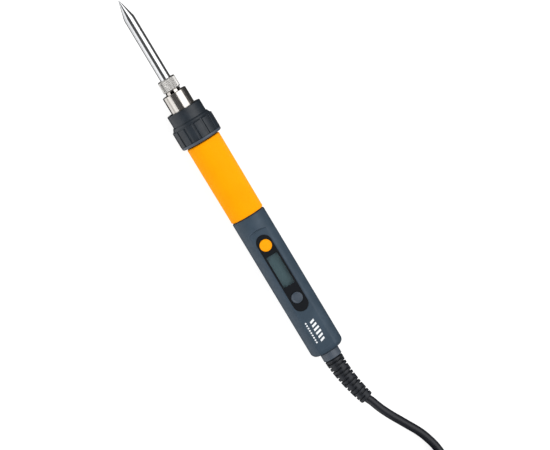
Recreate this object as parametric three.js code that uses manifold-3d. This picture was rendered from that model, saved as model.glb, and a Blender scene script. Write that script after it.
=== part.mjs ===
// Mains soldering iron with a display in its handle, millimetres, +Z up.
// It lies along X on a bench, tip towards +X and display panel upwards.
// Stations are distances behind the point of the tip, along the iron's centre line.

import * as THREE from "three";
import { mergeVertices } from "three/addons/utils/BufferGeometryUtils.js";
import Module from "manifold-3d";

const wasm = await Module();
wasm.setup();

// Driving dimensions of the iron
const ironLength = 237.7;
const axisHeight = 12.75;
const noseX = ironLength / 2;
const gap = 0.3;
const roundSides = 32;
const smallSides = 12;
const innerSides = 20;
const edge = 0.4;
const over = 1;

// Tip, heater and the metal parts that hold them
const tipPoint = { station: 0.25, radius: 0.28 };
const tipRadius = 3.2;
const coneEnd = 11.4;
const tipFlange = { start: 54.3, end: 55.6, radius: 4.0 };
const tipBore = { start: 24, radius: 2.2, cone: 1.2 };
const nut = { start: 51.7, end: 59.0, radius: 5.35, lip: 2.3, lipRadius: 3.5, boreRadius: 4.4 };
const bush = { start: 55.9, threadRadius: 4.1, neckStart: 59.3, neckRadius: 4.6 };
const notch = { count: 6, length: 1.6, width: 2.1, depth: 1.2, behind: 0.5, turn: -0.18 };
const bushFlange = { start: 62.5, end: 65.5, radius: 6.3 };
const barrel = { start: 60.7, end: 85.9, radius: 7.4, wall: 0.8, hole: 4.9, flangeRadius: 9.5 };
const barrelFace = 1.5;
const barrelFlange = 1.3;
const heater = { start: 25, end: 101, radius: 1.9, room: 0.6 };
const heaterFlange = { start: 96.4, end: 98.6, radius: 4.2, room: 0.25 };

// Collar that clamps the barrel on the handle
const collar = { start: 71.1, step: 78.4, wide: 80.4, end: 92.2, narrowRadius: 10.6 };
const collarBase = 12.1;
const padRadius = 12.75;
const padCount = 14;
const padWidth = 4.5;
const padEnd = 90.2;
const padFlare = 1.12;
const padSink = 0.6;
const padOverlap = 0.1;
const collarSeat = 84.3;

// Grip, insert and handle shells
const insert = { start: 86.2, shoulder: 92.5, end: 110, threadRadius: 9.4, bossRadius: 6.3 };
const insertRib = { start: 100.3, end: 102.9, radius: 7.0 };
const insertRoom = { start: 95.5, radius: 4.6 };
const sleeve = { start: 92.8, end: 142.3, frontRadius: 10.55, rearRadius: 10.3, bore: 8.6 };
const sleeveWaist = { station: 118, radius: 10.45 };
const sleeveFront = 0.5;
const sleeveRear = { length: 0.8, depth: 0.7 };
const neck = { start: 93.4, outer: 8.3, bore: 6.6 };
const handleStart = 142.7;
const tailStation = 232.7;
const tailRadius = 3.5;
const wall = 1.8;
const frontHalfWidth = 10.25;
const tailHalfWidth = 10.1;
const bellyDepth = 13.6;
const bellyStart = 146;
const bellyFull = 186;
const panelStart = 151.7;
const panelRamp = 1;
const panelHeight = 8.55;
const panelHalfAngle = 0.58;
const partingGap = 0.15;
const handleBreaks = [146, 150.7, 151.7, 164, 175, 186, 222, 229.2, 230.9, 232.2];
const breakRoom = { front: 0.5, rear: 0.2 };
const panelSteps = 4;
const sideSteps = 16;
const halves = { start: 90, end: 236, width: 30, reach: 16 };
const bossReach = 12;

// Display panel and buttons
const lens = { start: 155.5, end: 204.9, width: 9.0, thick: 1.4, proud: 0.2 };
const lensRoom = 0.15;
const lensBed = 0.1;
const windowSize = { start: 168.2, end: 188.2, width: 7 };
const throughPanel = { low: 4, high: 12 };
const lcd = { start: 167.2, end: 189.2, width: 8.6, low: 4.2, high: 5.9 };
const lcdFrame = { start: 166.8, end: 189.6, width: 9.4, low: 0.4, high: 4.05, opening: 7.6 };
const powerButton = { station: 161.7, radius: 3.55 };
const setButton = { station: 196.5, radius: 3.3 };
const buttonTop = 9.35;
const buttonPlay = 0.2;
const stemFlange = { low: 5.1, high: 6.05, extra: 0.75 };

// Crown of a button: in from its side, down from its top
const buttonCrown = [[0, 0.45], [0.35, 0.12], [1.4, 0]];

// Control board and what it carries
const board = { start: 151.5, end: 213, width: 15.4, top: 0.2, thick: 1.4 };
const partGap = 0.15;
const switchSize = [6, 6, 3.2];
const plunger = { low: 3.0, high: 4.95, radius: 1.6, room: 0.25, well: 0.8 };
const chip = { start: 201.6, end: 205.6, side: 0, width: 5, height: 1.5 };
const triac = { start: 206.8, end: 211.8, side: 3, width: 6.2, height: 2.2 };
const capacitor = { start: 170, end: 183, width: 6, height: 8 };
const resistor = { start: 188, end: 194.5, radius: 1.3, below: 1.4 };

// Fasteners
const shellScrews = [
  { name: "shell_screw_front", station: 147.2, side: 0, seat: -7.2 },
  { name: "shell_screw_left", station: 217.6, side: 5.4, seat: -8.2 },
  { name: "shell_screw_right", station: 217.6, side: -5.4, seat: -8.2 },
];
const screw = { head: 2.0, headThick: 1.3, shank: 1.0, hole: 1.3, boss: 2.4, reach: 4.6 };
const screwPoint = { length: 0.6, radius: 0.3 };
const screwRoom = { head: 0.25, seat: 0.1, end: 0.4 };
const clamp = { station: 225.2, length: 4, width: 13, thick: 1.6, side: 4.7, boss: 1.9 };
const clampBoss = { top: 2.2, hole: 1.0, holeEnd: -6.4 };
const clampLift = 0.1;
const clampScrew = { tip: -5.6, taper: 0.4, shank: 0.8, head: 1.5, headThick: 0.9 };
const saddle = { length: 3, width: 6, room: 0.25 };

// Tail, cord and plug
const gland = { start: 228.6, faceIn: 233.0, end: 237.7, radius: 5.7, stem: 5.0, bore: 3.9 };
const glandEdge = 0.5;
const tailHole = 5.25;
const bootStart = 229.4;
const bootStemRadius = 3.6;
const bootBore = 2.8;
const bootLine = [[229.4, 0], [238.1, 0], [245, 0.3], [252, 1.2], [259, 2.6], [266.8, 4.7]];
const bootRadii = [3.6, 5.5, 5.1, 4.8, 4.5, 4.15];
const bootJoin = 0.5;
const bootCutRadius = 9;
const boreOverrun = 0.6;
const cordRadius = 2.5;
const cordSides = 10;

// Inside the handle: station, side, height above the centre line
const innerCordPoints = [
  [221.5, 0, 0],
  [230, 0, 0],
  [238.1, 0, 0],
  [245, -0.3, 0],
  [252, -1.2, 0],
  [259, -2.6, 0],
  [266.4, -4.6, 0],
];
const coreRadius = 0.8;
const corePoints = [
  [221.2, 1.2, 0],
  [219, 1.44, 0.6],
  [216, 1.92, 1.6],
  [213.4, 2.64, 1.8],
  [212.6, 3.08, 1.6],
];
const leadRadius = 0.5;
const heaterLeadPoints = [
  [101.3, 1.1, 0.9],
  [108, 1.54, 1.35],
  [125, 2.42, 1.44],
  [138, 2.99, 1.6],
  [147, 3.956, 1.9],
  [152.6, 4.6, 0.95],
  [155.4, 4.6, 0.95],
];
const sensorLeadPoints = [
  [101.3, 1.1, -0.9],
  [108, 1.54, -1.35],
  [125, 2.42, -1.44],
  [138, 4.03, 1.6],
  [147, 5.332, 1.9],
  [152.6, 6.2, 0.95],
  [155.4, 6.2, 0.95],
];

// Centre line of the cord from the boot to the hank, as X, Y, Z
const leadPoints = [
  [-148.2, -4.9, 12.75],
  [-151.4, -5.9, 12.7],
  [-155.8, -7.4, 12.3],
  [-160.3, -9.2, 11.3],
  [-165.6, -11.7, 9.6],
  [-171.0, -14.5, 7.5],
  [-176.2, -17.2, 5.6],
  [-181.0, -19.7, 4.1],
  [-185.4, -21.6, 3.1],
  [-189.4, -22.9, 2.62],
  [-193.4, -24.0, 2.52],
  [-197.4, -24.6, 2.52],
];

// Hank: the cord folded into flat turns round two ends, and the strap that holds it
const hank = { nearX: -212.2, farX: -264.7, middleY: -5, inner: 12.5, outer: 22.5, height: 15 };
const strap = { x: -240, width: 8, thick: 0.8, under: 1.2, room: 0.5, lift: 0.05, rise: 0.3 };
const strapSlot = { length: 9, past: 4 };

// Centre line of the cord from the hank to the plug
const tailPoints = [
  [-286.6, -18.6, 13.3],
  [-290.6, -17.0, 11.3],
  [-295.0, -14.8, 9.6],
  [-299.6, -12.2, 8.3],
  [-304.2, -9.6, 7.4],
  [-308.8, -7.4, 6.95],
  [-313.4, -5.8, 6.85],
  [-318.2, -5.0, 6.85],
];

// Two-pin plug lying flat
const plug = { relief: -318.6, body: -333, shoulder: -349, face: -358, middleY: -5 };
const plugWidth = 35.3;
const plugThick = 13.7;
const plugNeck = 12;
const plugEdge = 1.2;
const plugPin = { radius: 2.0, length: 19, spacing: 18.6, root: 5, room: 0.1 };
const plugPinTip = { radius: 1.1, length: 1.2 };
const plugSleeve = { wide: 5.2, narrow: 3.5 };

const red = new THREE.Color("#9c2b22");
const blue = new THREE.Color("#2f4f8f");

const iron = new THREE.Group();

function finish(colour, roughness, metalness) {
  return new THREE.MeshStandardMaterial({ color: colour, roughness, metalness });
}

function add(name, geometry, material) {
  const mesh = new THREE.Mesh(geometry, material);
  mesh.name = name;
  iron.add(mesh);
}

function volumeOf(geometry) {
  const position = geometry.attributes.position;
  const index = geometry.index.array;
  const [a, b, c] = [new THREE.Vector3(), new THREE.Vector3(), new THREE.Vector3()];
  let sum = 0;
  for (let i = 0; i < index.length; i += 3) {
    a.fromBufferAttribute(position, index[i]);
    b.fromBufferAttribute(position, index[i + 1]);
    c.fromBufferAttribute(position, index[i + 2]);
    sum += a.dot(b.cross(c)) / 6;
  }
  return sum;
}

// Merged, without empty triangles, and with its faces pointing out
function clean(source) {
  let geometry = source.clone();
  geometry.deleteAttribute("normal");
  geometry.deleteAttribute("uv");
  geometry = mergeVertices(geometry, 1e-4);
  const old = geometry.index.array;
  const kept = [];
  for (let i = 0; i < old.length; i += 3) {
    const [a, b, c] = [old[i], old[i + 1], old[i + 2]];
    if (a !== b && b !== c && c !== a) kept.push(a, b, c);
  }
  geometry.setIndex(kept);
  if (volumeOf(geometry) < 0) {
    for (let i = 0; i < kept.length; i += 3) [kept[i], kept[i + 1]] = [kept[i + 1], kept[i]];
    geometry.setIndex(kept);
  }
  return geometry;
}

function toSolid(source) {
  const geometry = clean(source);
  const mesh = new wasm.Mesh({
    numProp: 3,
    vertProperties: new Float32Array(geometry.attributes.position.array),
    triVerts: new Uint32Array(geometry.index.array),
  });
  return new wasm.Manifold(mesh);
}

function toGeometry(solid) {
  const mesh = solid.getMesh();
  const geometry = new THREE.BufferGeometry();
  geometry.setAttribute("position", new THREE.BufferAttribute(mesh.vertProperties, 3));
  geometry.setIndex(new THREE.BufferAttribute(mesh.triVerts, 1));
  return geometry;
}

// Turned about the iron's centre line, from [station, radius] points
function turned(profile, segments = roundSides) {
  const points = profile.map(([station, radius]) => new THREE.Vector2(radius, noseX - station));
  if (profile[0][1] > 0) points.push(points[0].clone());
  const geometry = new THREE.LatheGeometry(points, segments);
  geometry.rotateZ(-Math.PI / 2);
  geometry.translate(0, 0, axisHeight);
  return clean(geometry);
}

const disc = (start, end, radius, sides) =>
  turned([[start, 0], [start, radius], [end, radius], [end, 0]], sides);

const tube = (start, end, inner, outer, sides) =>
  turned([[start, inner], [start, outer], [end, outer], [end, inner]], sides);

// A block whose length runs between two stations; heights are above the centre line
function block(start, end, side, width, low, high) {
  const geometry = new THREE.BoxGeometry(end - start, width, high - low);
  geometry.translate(noseX - (start + end) / 2, side, axisHeight + (low + high) / 2);
  return clean(geometry);
}

function post(station, side, radius, low, high, sides = smallSides) {
  const geometry = new THREE.CylinderGeometry(radius, radius, high - low, sides);
  geometry.rotateX(Math.PI / 2);
  geometry.translate(noseX - station, side, axisHeight + (low + high) / 2);
  return clean(geometry);
}

// Turned about an upright axis, from [radius, height] points
function upright(station, side, profile, sides = smallSides) {
  const points = profile.map(([radius, height]) => new THREE.Vector2(radius, height));
  const geometry = new THREE.LatheGeometry(points, sides);
  geometry.rotateX(Math.PI / 2);
  geometry.translate(noseX - station, side, axisHeight);
  return clean(geometry);
}

function slot(start, end, width, low, high) {
  const shape = new THREE.Shape();
  const r = width / 2;
  shape.absarc(noseX - start - r, 0, r, -Math.PI / 2, Math.PI / 2, false);
  shape.absarc(noseX - end + r, 0, r, Math.PI / 2, Math.PI * 1.5, false);
  const geometry = new THREE.ExtrudeGeometry(shape, {
    depth: high - low,
    bevelEnabled: false,
    curveSegments: 10,
  });
  geometry.translate(0, 0, axisHeight + low);
  return clean(geometry);
}

// Rings of equal length joined by quads, with a fan over each end
function loft(rings) {
  const count = rings[0].length;
  const positions = [];
  const index = [];
  for (const ring of rings) for (const p of ring) positions.push(p.x, p.y, p.z);
  for (let k = 0; k + 1 < rings.length; k += 1) {
    for (let i = 0; i < count; i += 1) {
      const a = k * count + i;
      const b = k * count + ((i + 1) % count);
      index.push(a, b, a + count, b, b + count, a + count);
    }
  }
  for (const [k, turn] of [[0, 1], [rings.length - 1, -1]]) {
    const middle = new THREE.Vector3();
    for (const p of rings[k]) middle.addScaledVector(p, 1 / count);
    const hub = positions.length / 3;
    positions.push(middle.x, middle.y, middle.z);
    for (let i = 0; i < count; i += 1) {
      const a = k * count + i;
      const b = k * count + ((i + 1) % count);
      if (turn > 0) index.push(hub, b, a);
      else index.push(hub, a, b);
    }
  }
  const geometry = new THREE.BufferGeometry();
  geometry.setAttribute("position", new THREE.Float32BufferAttribute(positions, 3));
  geometry.setIndex(index);
  return clean(geometry);
}

// A round rod along hand-placed points
function rod(points, radius, sides, steps) {
  const curve = new THREE.CatmullRomCurve3(points.map((p) => new THREE.Vector3(...p)));
  const shape = new THREE.Shape();
  for (let i = 0; i < sides; i += 1) {
    const angle = (i / sides) * Math.PI * 2;
    const place = [radius * Math.cos(angle), radius * Math.sin(angle)];
    if (i === 0) shape.moveTo(...place);
    else shape.lineTo(...place);
  }
  return clean(new THREE.ExtrudeGeometry(shape, { extrudePath: curve, steps, bevelEnabled: false }));
}

// The same, given as [station, side, height above the centre line]
function lead(points, radius) {
  const placed = points.map(([s, side, up]) => [noseX - s, side, axisHeight + up]);
  return rod(placed, radius, 6, 12);
}

const mirrored = (points) => points.map(([s, side, up]) => [s, -side, up]);

function soft(x) {
  const t = Math.min(1, Math.max(0, x));
  return t * t * (3 - 2 * t);
}

// One cross-section of the handle: round on top, deeper below, with a flat panel and belly
function handleRing(station, inset) {
  const along = (station - handleStart) / (tailStation - handleStart);
  const into = Math.min(tailRadius, Math.max(0, station - (tailStation - tailRadius)));
  const shrink = inset + tailRadius - Math.sqrt(tailRadius ** 2 - into ** 2);
  const half = frontHalfWidth + (tailHalfWidth - frontHalfWidth) * along;
  const depth = half + (bellyDepth - half) * soft((station - bellyStart) / (bellyFull - bellyStart));
  const ramp = Math.min(1, Math.max(0, (station - panelStart + panelRamp) / panelRamp));
  const top = half + (panelHeight - half) * ramp - shrink;
  const floor = axisHeight - shrink;
  const ring = [];
  const place = (angle) => {
    const y = (half - shrink) * Math.sin(angle);
    const up = Math.cos(angle);
    const z = up > 0 ? (half - shrink) * up : (depth - shrink) * up;
    const held = Math.max(-floor, Math.min(top, z));
    ring.push(new THREE.Vector3(noseX - station, y, axisHeight + held));
  };
  for (let i = 0; i < panelSteps; i += 1) place(panelHalfAngle * ((2 * i) / panelSteps - 1));
  for (let i = 0; i < sideSteps; i += 1) {
    place(panelHalfAngle + ((Math.PI - panelHalfAngle) * 2 * i) / sideSteps);
  }
  return ring;
}

function handleStations(start, end) {
  const inside = (s) => s > start + breakRoom.front && s < end - breakRoom.rear;
  return [start, ...handleBreaks.filter(inside), end];
}

function addTipParts() {
  const steel = finish("#c9ccd0", 0.22, 1);
  const nickel = finish("#d8dadd", 0.28, 1);
  add("soldering_tip", turned([
    [0, 0],
    [tipPoint.station, tipPoint.radius],
    [coneEnd, tipRadius],
    [tipFlange.start, tipRadius],
    [tipFlange.start, tipFlange.radius],
    [tipFlange.end, tipFlange.radius],
    [tipFlange.end, tipBore.radius],
    [tipBore.start, tipBore.radius],
    [tipBore.start - tipBore.cone, 0],
  ]), steel);
  add("tip_nut", turned([
    [nut.start, nut.lipRadius],
    [nut.start, nut.radius - edge],
    [nut.start + edge, nut.radius],
    [nut.end - edge, nut.radius],
    [nut.end, nut.radius - edge],
    [nut.end, nut.boreRadius],
    [nut.start + nut.lip, nut.boreRadius],
    [nut.start + nut.lip, nut.lipRadius],
  ]), nickel);
  const body = turned([
    [bush.start, heater.radius + heater.room],
    [bush.start, bush.threadRadius],
    [bush.neckStart, bush.threadRadius],
    [bush.neckStart, bush.neckRadius],
    [bushFlange.start, bush.neckRadius],
    [bushFlange.start, bushFlange.radius],
    [bushFlange.end, bushFlange.radius],
    [bushFlange.end, heater.radius + heater.room],
  ], innerSides);
  let notched = toSolid(body);
  for (let i = 0; i < notch.count; i += 1) {
    const cutter = new THREE.BoxGeometry(notch.length, notch.width, notch.depth);
    cutter.translate(noseX - bush.neckStart - notch.behind, 0, bush.neckRadius);
    cutter.rotateX(notch.turn + (i / notch.count) * Math.PI * 2);
    cutter.translate(0, 0, axisHeight);
    notched = notched.subtract(toSolid(cutter));
  }
  add("nose_bush", toGeometry(notched), steel);
  add("barrel_tube", turned([
    [barrel.start, barrel.hole],
    [barrel.start, barrel.radius - edge],
    [barrel.start + edge, barrel.radius],
    [barrel.end - barrelFlange, barrel.radius],
    [barrel.end - barrelFlange, barrel.flangeRadius],
    [barrel.end, barrel.flangeRadius],
    [barrel.end, barrel.radius - barrel.wall],
    [barrel.start + barrelFace, barrel.radius - barrel.wall],
    [barrel.start + barrelFace, barrel.hole],
  ]), steel);
}

function addCollar() {
  const body = turned([
    [collar.start, barrel.radius + edge],
    [collar.start, collar.narrowRadius - edge],
    [collar.start + edge, collar.narrowRadius],
    [collar.step, collar.narrowRadius],
    [collar.wide, collarBase],
    [padEnd, collarBase],
    [padEnd + gap, padRadius - padOverlap],
    [collar.end - gap, padRadius - padOverlap],
    [collar.end, padRadius - edge],
    [collar.end, barrel.flangeRadius + gap],
    [collarSeat, barrel.flangeRadius + gap],
    [collarSeat, barrel.radius + edge],
  ]);
  let ribbed = toSolid(body);
  const sunk = collarBase - padSink;
  const half = padWidth / 2 / padRadius;
  for (let i = 0; i < padCount; i += 1) {
    const middle = ((i + 0.5) / padCount) * Math.PI * 2;
    const shape = new THREE.Shape();
    const corner = (r, t) => shape.lineTo(r * Math.cos(t), r * Math.sin(t));
    shape.moveTo(sunk, 0);
    corner(sunk, -half * padFlare);
    corner(padRadius, -half);
    corner(padRadius, 0);
    corner(padRadius, half);
    corner(sunk, half * padFlare);
    const pad = new THREE.ExtrudeGeometry(shape, {
      depth: padEnd + padOverlap - collar.wide,
      bevelEnabled: false,
    });
    pad.rotateY(-Math.PI / 2);
    pad.rotateX(middle + Math.PI);
    pad.translate(noseX - collar.wide, 0, axisHeight);
    ribbed = ribbed.add(toSolid(pad));
  }
  add("collar_nut", toGeometry(ribbed), finish("#39414a", 0.55, 0));
}

function addHeater() {
  add("heater_core", disc(heater.start, heater.end, heater.radius, smallSides),
    finish("#e9e6df", 0.6, 0));
  add("heater_flange", tube(heaterFlange.start, heaterFlange.end,
    heater.radius + heaterFlange.room, heaterFlange.radius, smallSides),
  finish("#d9d2c4", 0.7, 0));
  add("front_insert", turned([
    [insert.start, heater.radius + heater.room],
    [insert.start, insert.threadRadius - edge],
    [insert.start + edge, insert.threadRadius],
    [insert.shoulder, insert.threadRadius],
    [insert.shoulder, insert.bossRadius],
    [insertRib.start, insert.bossRadius],
    [insertRib.start, insertRib.radius],
    [insertRib.end, insertRib.radius],
    [insertRib.end, insert.bossRadius],
    [insert.end, insert.bossRadius],
    [insert.end, insertRoom.radius],
    [insertRoom.start, insertRoom.radius],
    [insertRoom.start, heater.radius + heater.room],
  ], innerSides), finish("#2a2624", 0.6, 0));
  const leads = [["heater_lead", heaterLeadPoints, red], ["sensor_lead", sensorLeadPoints, blue]];
  for (const [name, points, colour] of leads) {
    add(`${name}_left`, lead(points, leadRadius), finish(colour, 0.5, 0));
    add(`${name}_right`, lead(mirrored(points), leadRadius), finish(colour, 0.5, 0));
  }
}

function addGrip() {
  add("grip_sleeve", turned([
    [sleeve.start, sleeve.bore],
    [sleeve.start, sleeve.frontRadius - sleeveFront],
    [sleeve.start + sleeveFront, sleeve.frontRadius],
    [sleeveWaist.station, sleeveWaist.radius],
    [sleeve.end - sleeveRear.length, sleeve.rearRadius],
    [sleeve.end, sleeve.rearRadius - sleeveRear.depth],
    [sleeve.end, sleeve.bore],
  ]), finish("#ffa800", 0.5, 0));
}

function shellBody() {
  const outer = toSolid(loft(handleStations(handleStart, tailStation).map((s) => handleRing(s, 0))));
  const nose = toSolid(disc(neck.start, handleStart + wall, neck.outer));
  const cavityEnd = tailStation - wall;
  const rooms = handleStations(handleStart + wall, cavityEnd).map((s) => handleRing(s, wall));
  const cavity = toSolid(loft(rooms));
  const bore = toSolid(disc(neck.start - over, handleStart + wall + over, neck.bore));
  const groove = toSolid(disc(insertRib.start - gap, insertRib.end + gap, insertRib.radius + edge));
  const hole = toSolid(disc(tailStation - tailRadius - wall, tailStation + over, tailHole));
  let filled = outer.add(nose).subtract(bore).subtract(groove);
  filled = filled.subtract(cavity).subtract(hole);
  return { filled, outer };
}

function buttonHole({ station, radius }) {
  const { low, high } = throughPanel;
  return toSolid(post(station, 0, radius + buttonPlay, low, high, innerSides));
}

// The screw posts stand inside the shell and end at the parting line
function screwPosts(outer, low, high) {
  let posts = null;
  for (const { station, side } of shellScrews) {
    const one = toSolid(post(station, side, screw.boss, low, high));
    posts = posts ? posts.add(one) : one;
  }
  return posts.intersect(outer);
}

function addShells() {
  const { filled, outer } = shellBody();
  const { start, end, width, reach } = halves;
  const upperHalf = toSolid(block(start, end, 0, width, partingGap, reach));
  const lowerHalf = toSolid(block(start, end, 0, width, -reach, -partingGap));
  const material = finish("#46566a", 0.5, 0);

  let top = filled.intersect(upperHalf).add(screwPosts(outer, partingGap, bossReach));
  const bed = panelHeight - lens.thick + lens.proud - lensBed;
  const recess = slot(lens.start - lensRoom, lens.end + lensRoom, lens.width + 2 * lensRoom,
    bed, throughPanel.high);
  top = top.subtract(toSolid(recess));
  const glassRoom = block(windowSize.start, windowSize.end, 0, windowSize.width,
    throughPanel.low, throughPanel.high);
  top = top.subtract(toSolid(glassRoom));
  for (const button of [powerButton, setButton]) top = top.subtract(buttonHole(button));
  for (const { station, side } of shellScrews) {
    top = top.subtract(toSolid(post(station, side, screw.hole, 0, screw.reach + screwRoom.end)));
  }
  add("handle_top_shell", toGeometry(top), material);

  let bottom = filled.intersect(lowerHalf).add(screwPosts(outer, -reach, -partingGap));
  for (const side of [clamp.side, -clamp.side]) {
    const boss = toSolid(post(clamp.station, side, clamp.boss, -reach, clampBoss.top));
    const hole = post(clamp.station, side, clampBoss.hole, clampBoss.holeEnd, clampBoss.top + over);
    bottom = bottom.add(boss.intersect(outer)).subtract(toSolid(hole));
  }
  const rest = block(clamp.station - saddle.length / 2, clamp.station + saddle.length / 2,
    0, saddle.width, -reach, -cordRadius - saddle.room);
  bottom = bottom.add(toSolid(rest).intersect(outer));
  for (const { station, side, seat } of shellScrews) {
    const sink = post(station, side, screw.head + screwRoom.head, -reach, seat + screwRoom.seat);
    bottom = bottom.subtract(toSolid(sink));
    bottom = bottom.subtract(toSolid(post(station, side, screw.hole, -reach, 0)));
  }
  add("handle_bottom_shell", toGeometry(bottom), material);
}

function addPanel() {
  const lensTop = panelHeight + lens.proud;
  let pane = toSolid(slot(lens.start, lens.end, lens.width, lensTop - lens.thick, lensTop));
  for (const button of [powerButton, setButton]) pane = pane.subtract(buttonHole(button));
  add("display_lens", toGeometry(pane), finish("#15181c", 0.08, 0));
  add("lcd_module", block(lcd.start, lcd.end, 0, lcd.width, lcd.low, lcd.high),
    finish("#6f8f88", 0.25, 0));
  const rim = block(lcdFrame.start, lcdFrame.end, 0, lcdFrame.width, lcdFrame.low, lcdFrame.high);
  const open = block(windowSize.start, windowSize.end, 0, lcdFrame.opening, 0, lcd.high);
  add("lcd_frame", toGeometry(toSolid(rim).subtract(toSolid(open))), finish("#e8e8e4", 0.5, 0));
}

function addButtons() {
  const sets = [
    ["power", powerButton, finish("#ffb400", 0.4, 0)],
    ["set", setButton, finish("#454f59", 0.5, 0)],
  ];
  for (const [name, { station, radius }, material] of sets) {
    const { low, high, extra } = stemFlange;
    add(`${name}_button`, upright(station, 0, [
      [0, low],
      [radius + extra, low],
      [radius + extra, high],
      [radius, high],
      ...buttonCrown.map(([inwards, down]) => [radius - inwards, buttonTop - down]),
      [0, buttonTop],
    ], innerSides), material);
    const { low: foot, high: head, radius: thin, room, well } = plunger;
    add(`${name}_plunger`, post(station, 0, thin, foot, head), finish("#1d1f22", 0.5, 0));
    const [length, width, height] = switchSize;
    const base = board.top + partGap;
    const box = toSolid(block(station - length / 2, station + length / 2, 0, width,
      base, base + height));
    const bore = toSolid(post(station, 0, thin + room, foot - well, head));
    add(`${name}_switch`, toGeometry(box.subtract(bore)), finish("#303236", 0.4, 0.3));
  }
}

function addElectronics() {
  add("control_board", block(board.start, board.end, 0, board.width,
    board.top - board.thick, board.top), finish("#1f5a38", 0.5, 0));
  const top = board.top + partGap;
  const below = board.top - board.thick - partGap;
  for (const [name, { start, end, side, width, height }] of [["mcu_chip", chip], ["triac", triac]]) {
    add(name, block(start, end, side, width, top, top + height), finish("#1a1a1c", 0.5, 0));
  }
  add("drop_capacitor", block(capacitor.start, capacitor.end, 0, capacitor.width,
    below - capacitor.height, below), finish("#b8862c", 0.5, 0));
  const body = disc(resistor.start, resistor.end, resistor.radius, smallSides);
  body.translate(0, 0, below - resistor.below);
  add("fuse_resistor", body, finish("#7fa4c4", 0.4, 0));
}

function addScrews() {
  const steel = finish("#9a9da1", 0.35, 1);
  for (const { name, station, side, seat } of shellScrews) {
    add(name, upright(station, side, [
      [0, seat - screw.headThick],
      [screw.head, seat - screw.headThick],
      [screw.head, seat],
      [screw.shank, seat],
      [screw.shank, screw.reach - screwPoint.length],
      [screwPoint.radius, screw.reach],
      [0, screw.reach],
    ]), steel);
  }
  const barLow = cordRadius + clampLift;
  let bar = toSolid(block(clamp.station - clamp.length / 2, clamp.station + clamp.length / 2, 0,
    clamp.width, barLow, barLow + clamp.thick));
  for (const side of [clamp.side, -clamp.side]) {
    bar = bar.subtract(toSolid(post(clamp.station, side, clampBoss.hole, 0,
      barLow + clamp.thick + over)));
  }
  add("cord_clamp", toGeometry(bar), finish("#46566a", 0.5, 0));
  const { tip, taper, shank, head, headThick } = clampScrew;
  const seat = barLow + clamp.thick + clampLift;
  for (const [name, side] of [["clamp_screw_left", 1], ["clamp_screw_right", -1]]) {
    add(name, upright(clamp.station, side * clamp.side, [
      [0, tip],
      [shank, tip + taper],
      [shank, seat],
      [head, seat],
      [head, seat + headThick],
      [0, seat + headThick],
    ]), steel);
  }
}

function bootRings(radii) {
  return bootLine.map(([station, side], i) => {
    const before = bootLine[Math.max(0, i - 1)];
    const after = bootLine[Math.min(bootLine.length - 1, i + 1)];
    const lean = Math.atan2(after[1] - before[1], after[0] - before[0]);
    const ring = [];
    for (let k = 0; k < smallSides; k += 1) {
      const angle = (k / smallSides) * Math.PI * 2;
      const across = radii[i] * Math.cos(angle);
      ring.push(new THREE.Vector3(
        noseX - station - across * Math.sin(lean),
        -side + across * Math.cos(lean),
        axisHeight + radii[i] * Math.sin(angle),
      ));
    }
    return ring;
  });
}

function addTail() {
  add("cord_gland", turned([
    [gland.start, gland.bore],
    [gland.start, gland.stem],
    [gland.faceIn, gland.stem],
    [gland.faceIn, gland.radius],
    [gland.end - glandEdge, gland.radius],
    [gland.end, gland.radius - glandEdge],
    [gland.end, gland.bore],
  ], innerSides), finish("#262a30", 0.55, 0));
  const jacket = toSolid(loft(bootRings(bootRadii)));
  const stem = toSolid(disc(bootStart, gland.end + bootJoin, bootStemRadius, smallSides));
  const front = toSolid(disc(bootStart - over, gland.end + gap, bootCutRadius));
  const bore = toSolid(loft(bootRings(bootRadii.map(() => bootBore)).map((ring, i, all) => {
    if (i > 0 && i < all.length - 1) return ring;
    const away = (i ? -1 : 1) * boreOverrun;
    return ring.map((p) => new THREE.Vector3(p.x + away, p.y, p.z));
  })));
  const boot = jacket.subtract(front).add(stem).subtract(bore);
  add("strain_relief", toGeometry(boot), finish("#1b1d21", 0.6, 0));
  add("cord_inner_end", lead(innerCordPoints, cordRadius), finish("#1c1d22", 0.5, 0));
  add("live_lead", lead(corePoints, coreRadius), finish(red, 0.5, 0));
  add("neutral_lead", lead(mirrored(corePoints), coreRadius), finish(blue, 0.5, 0));
}

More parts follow.
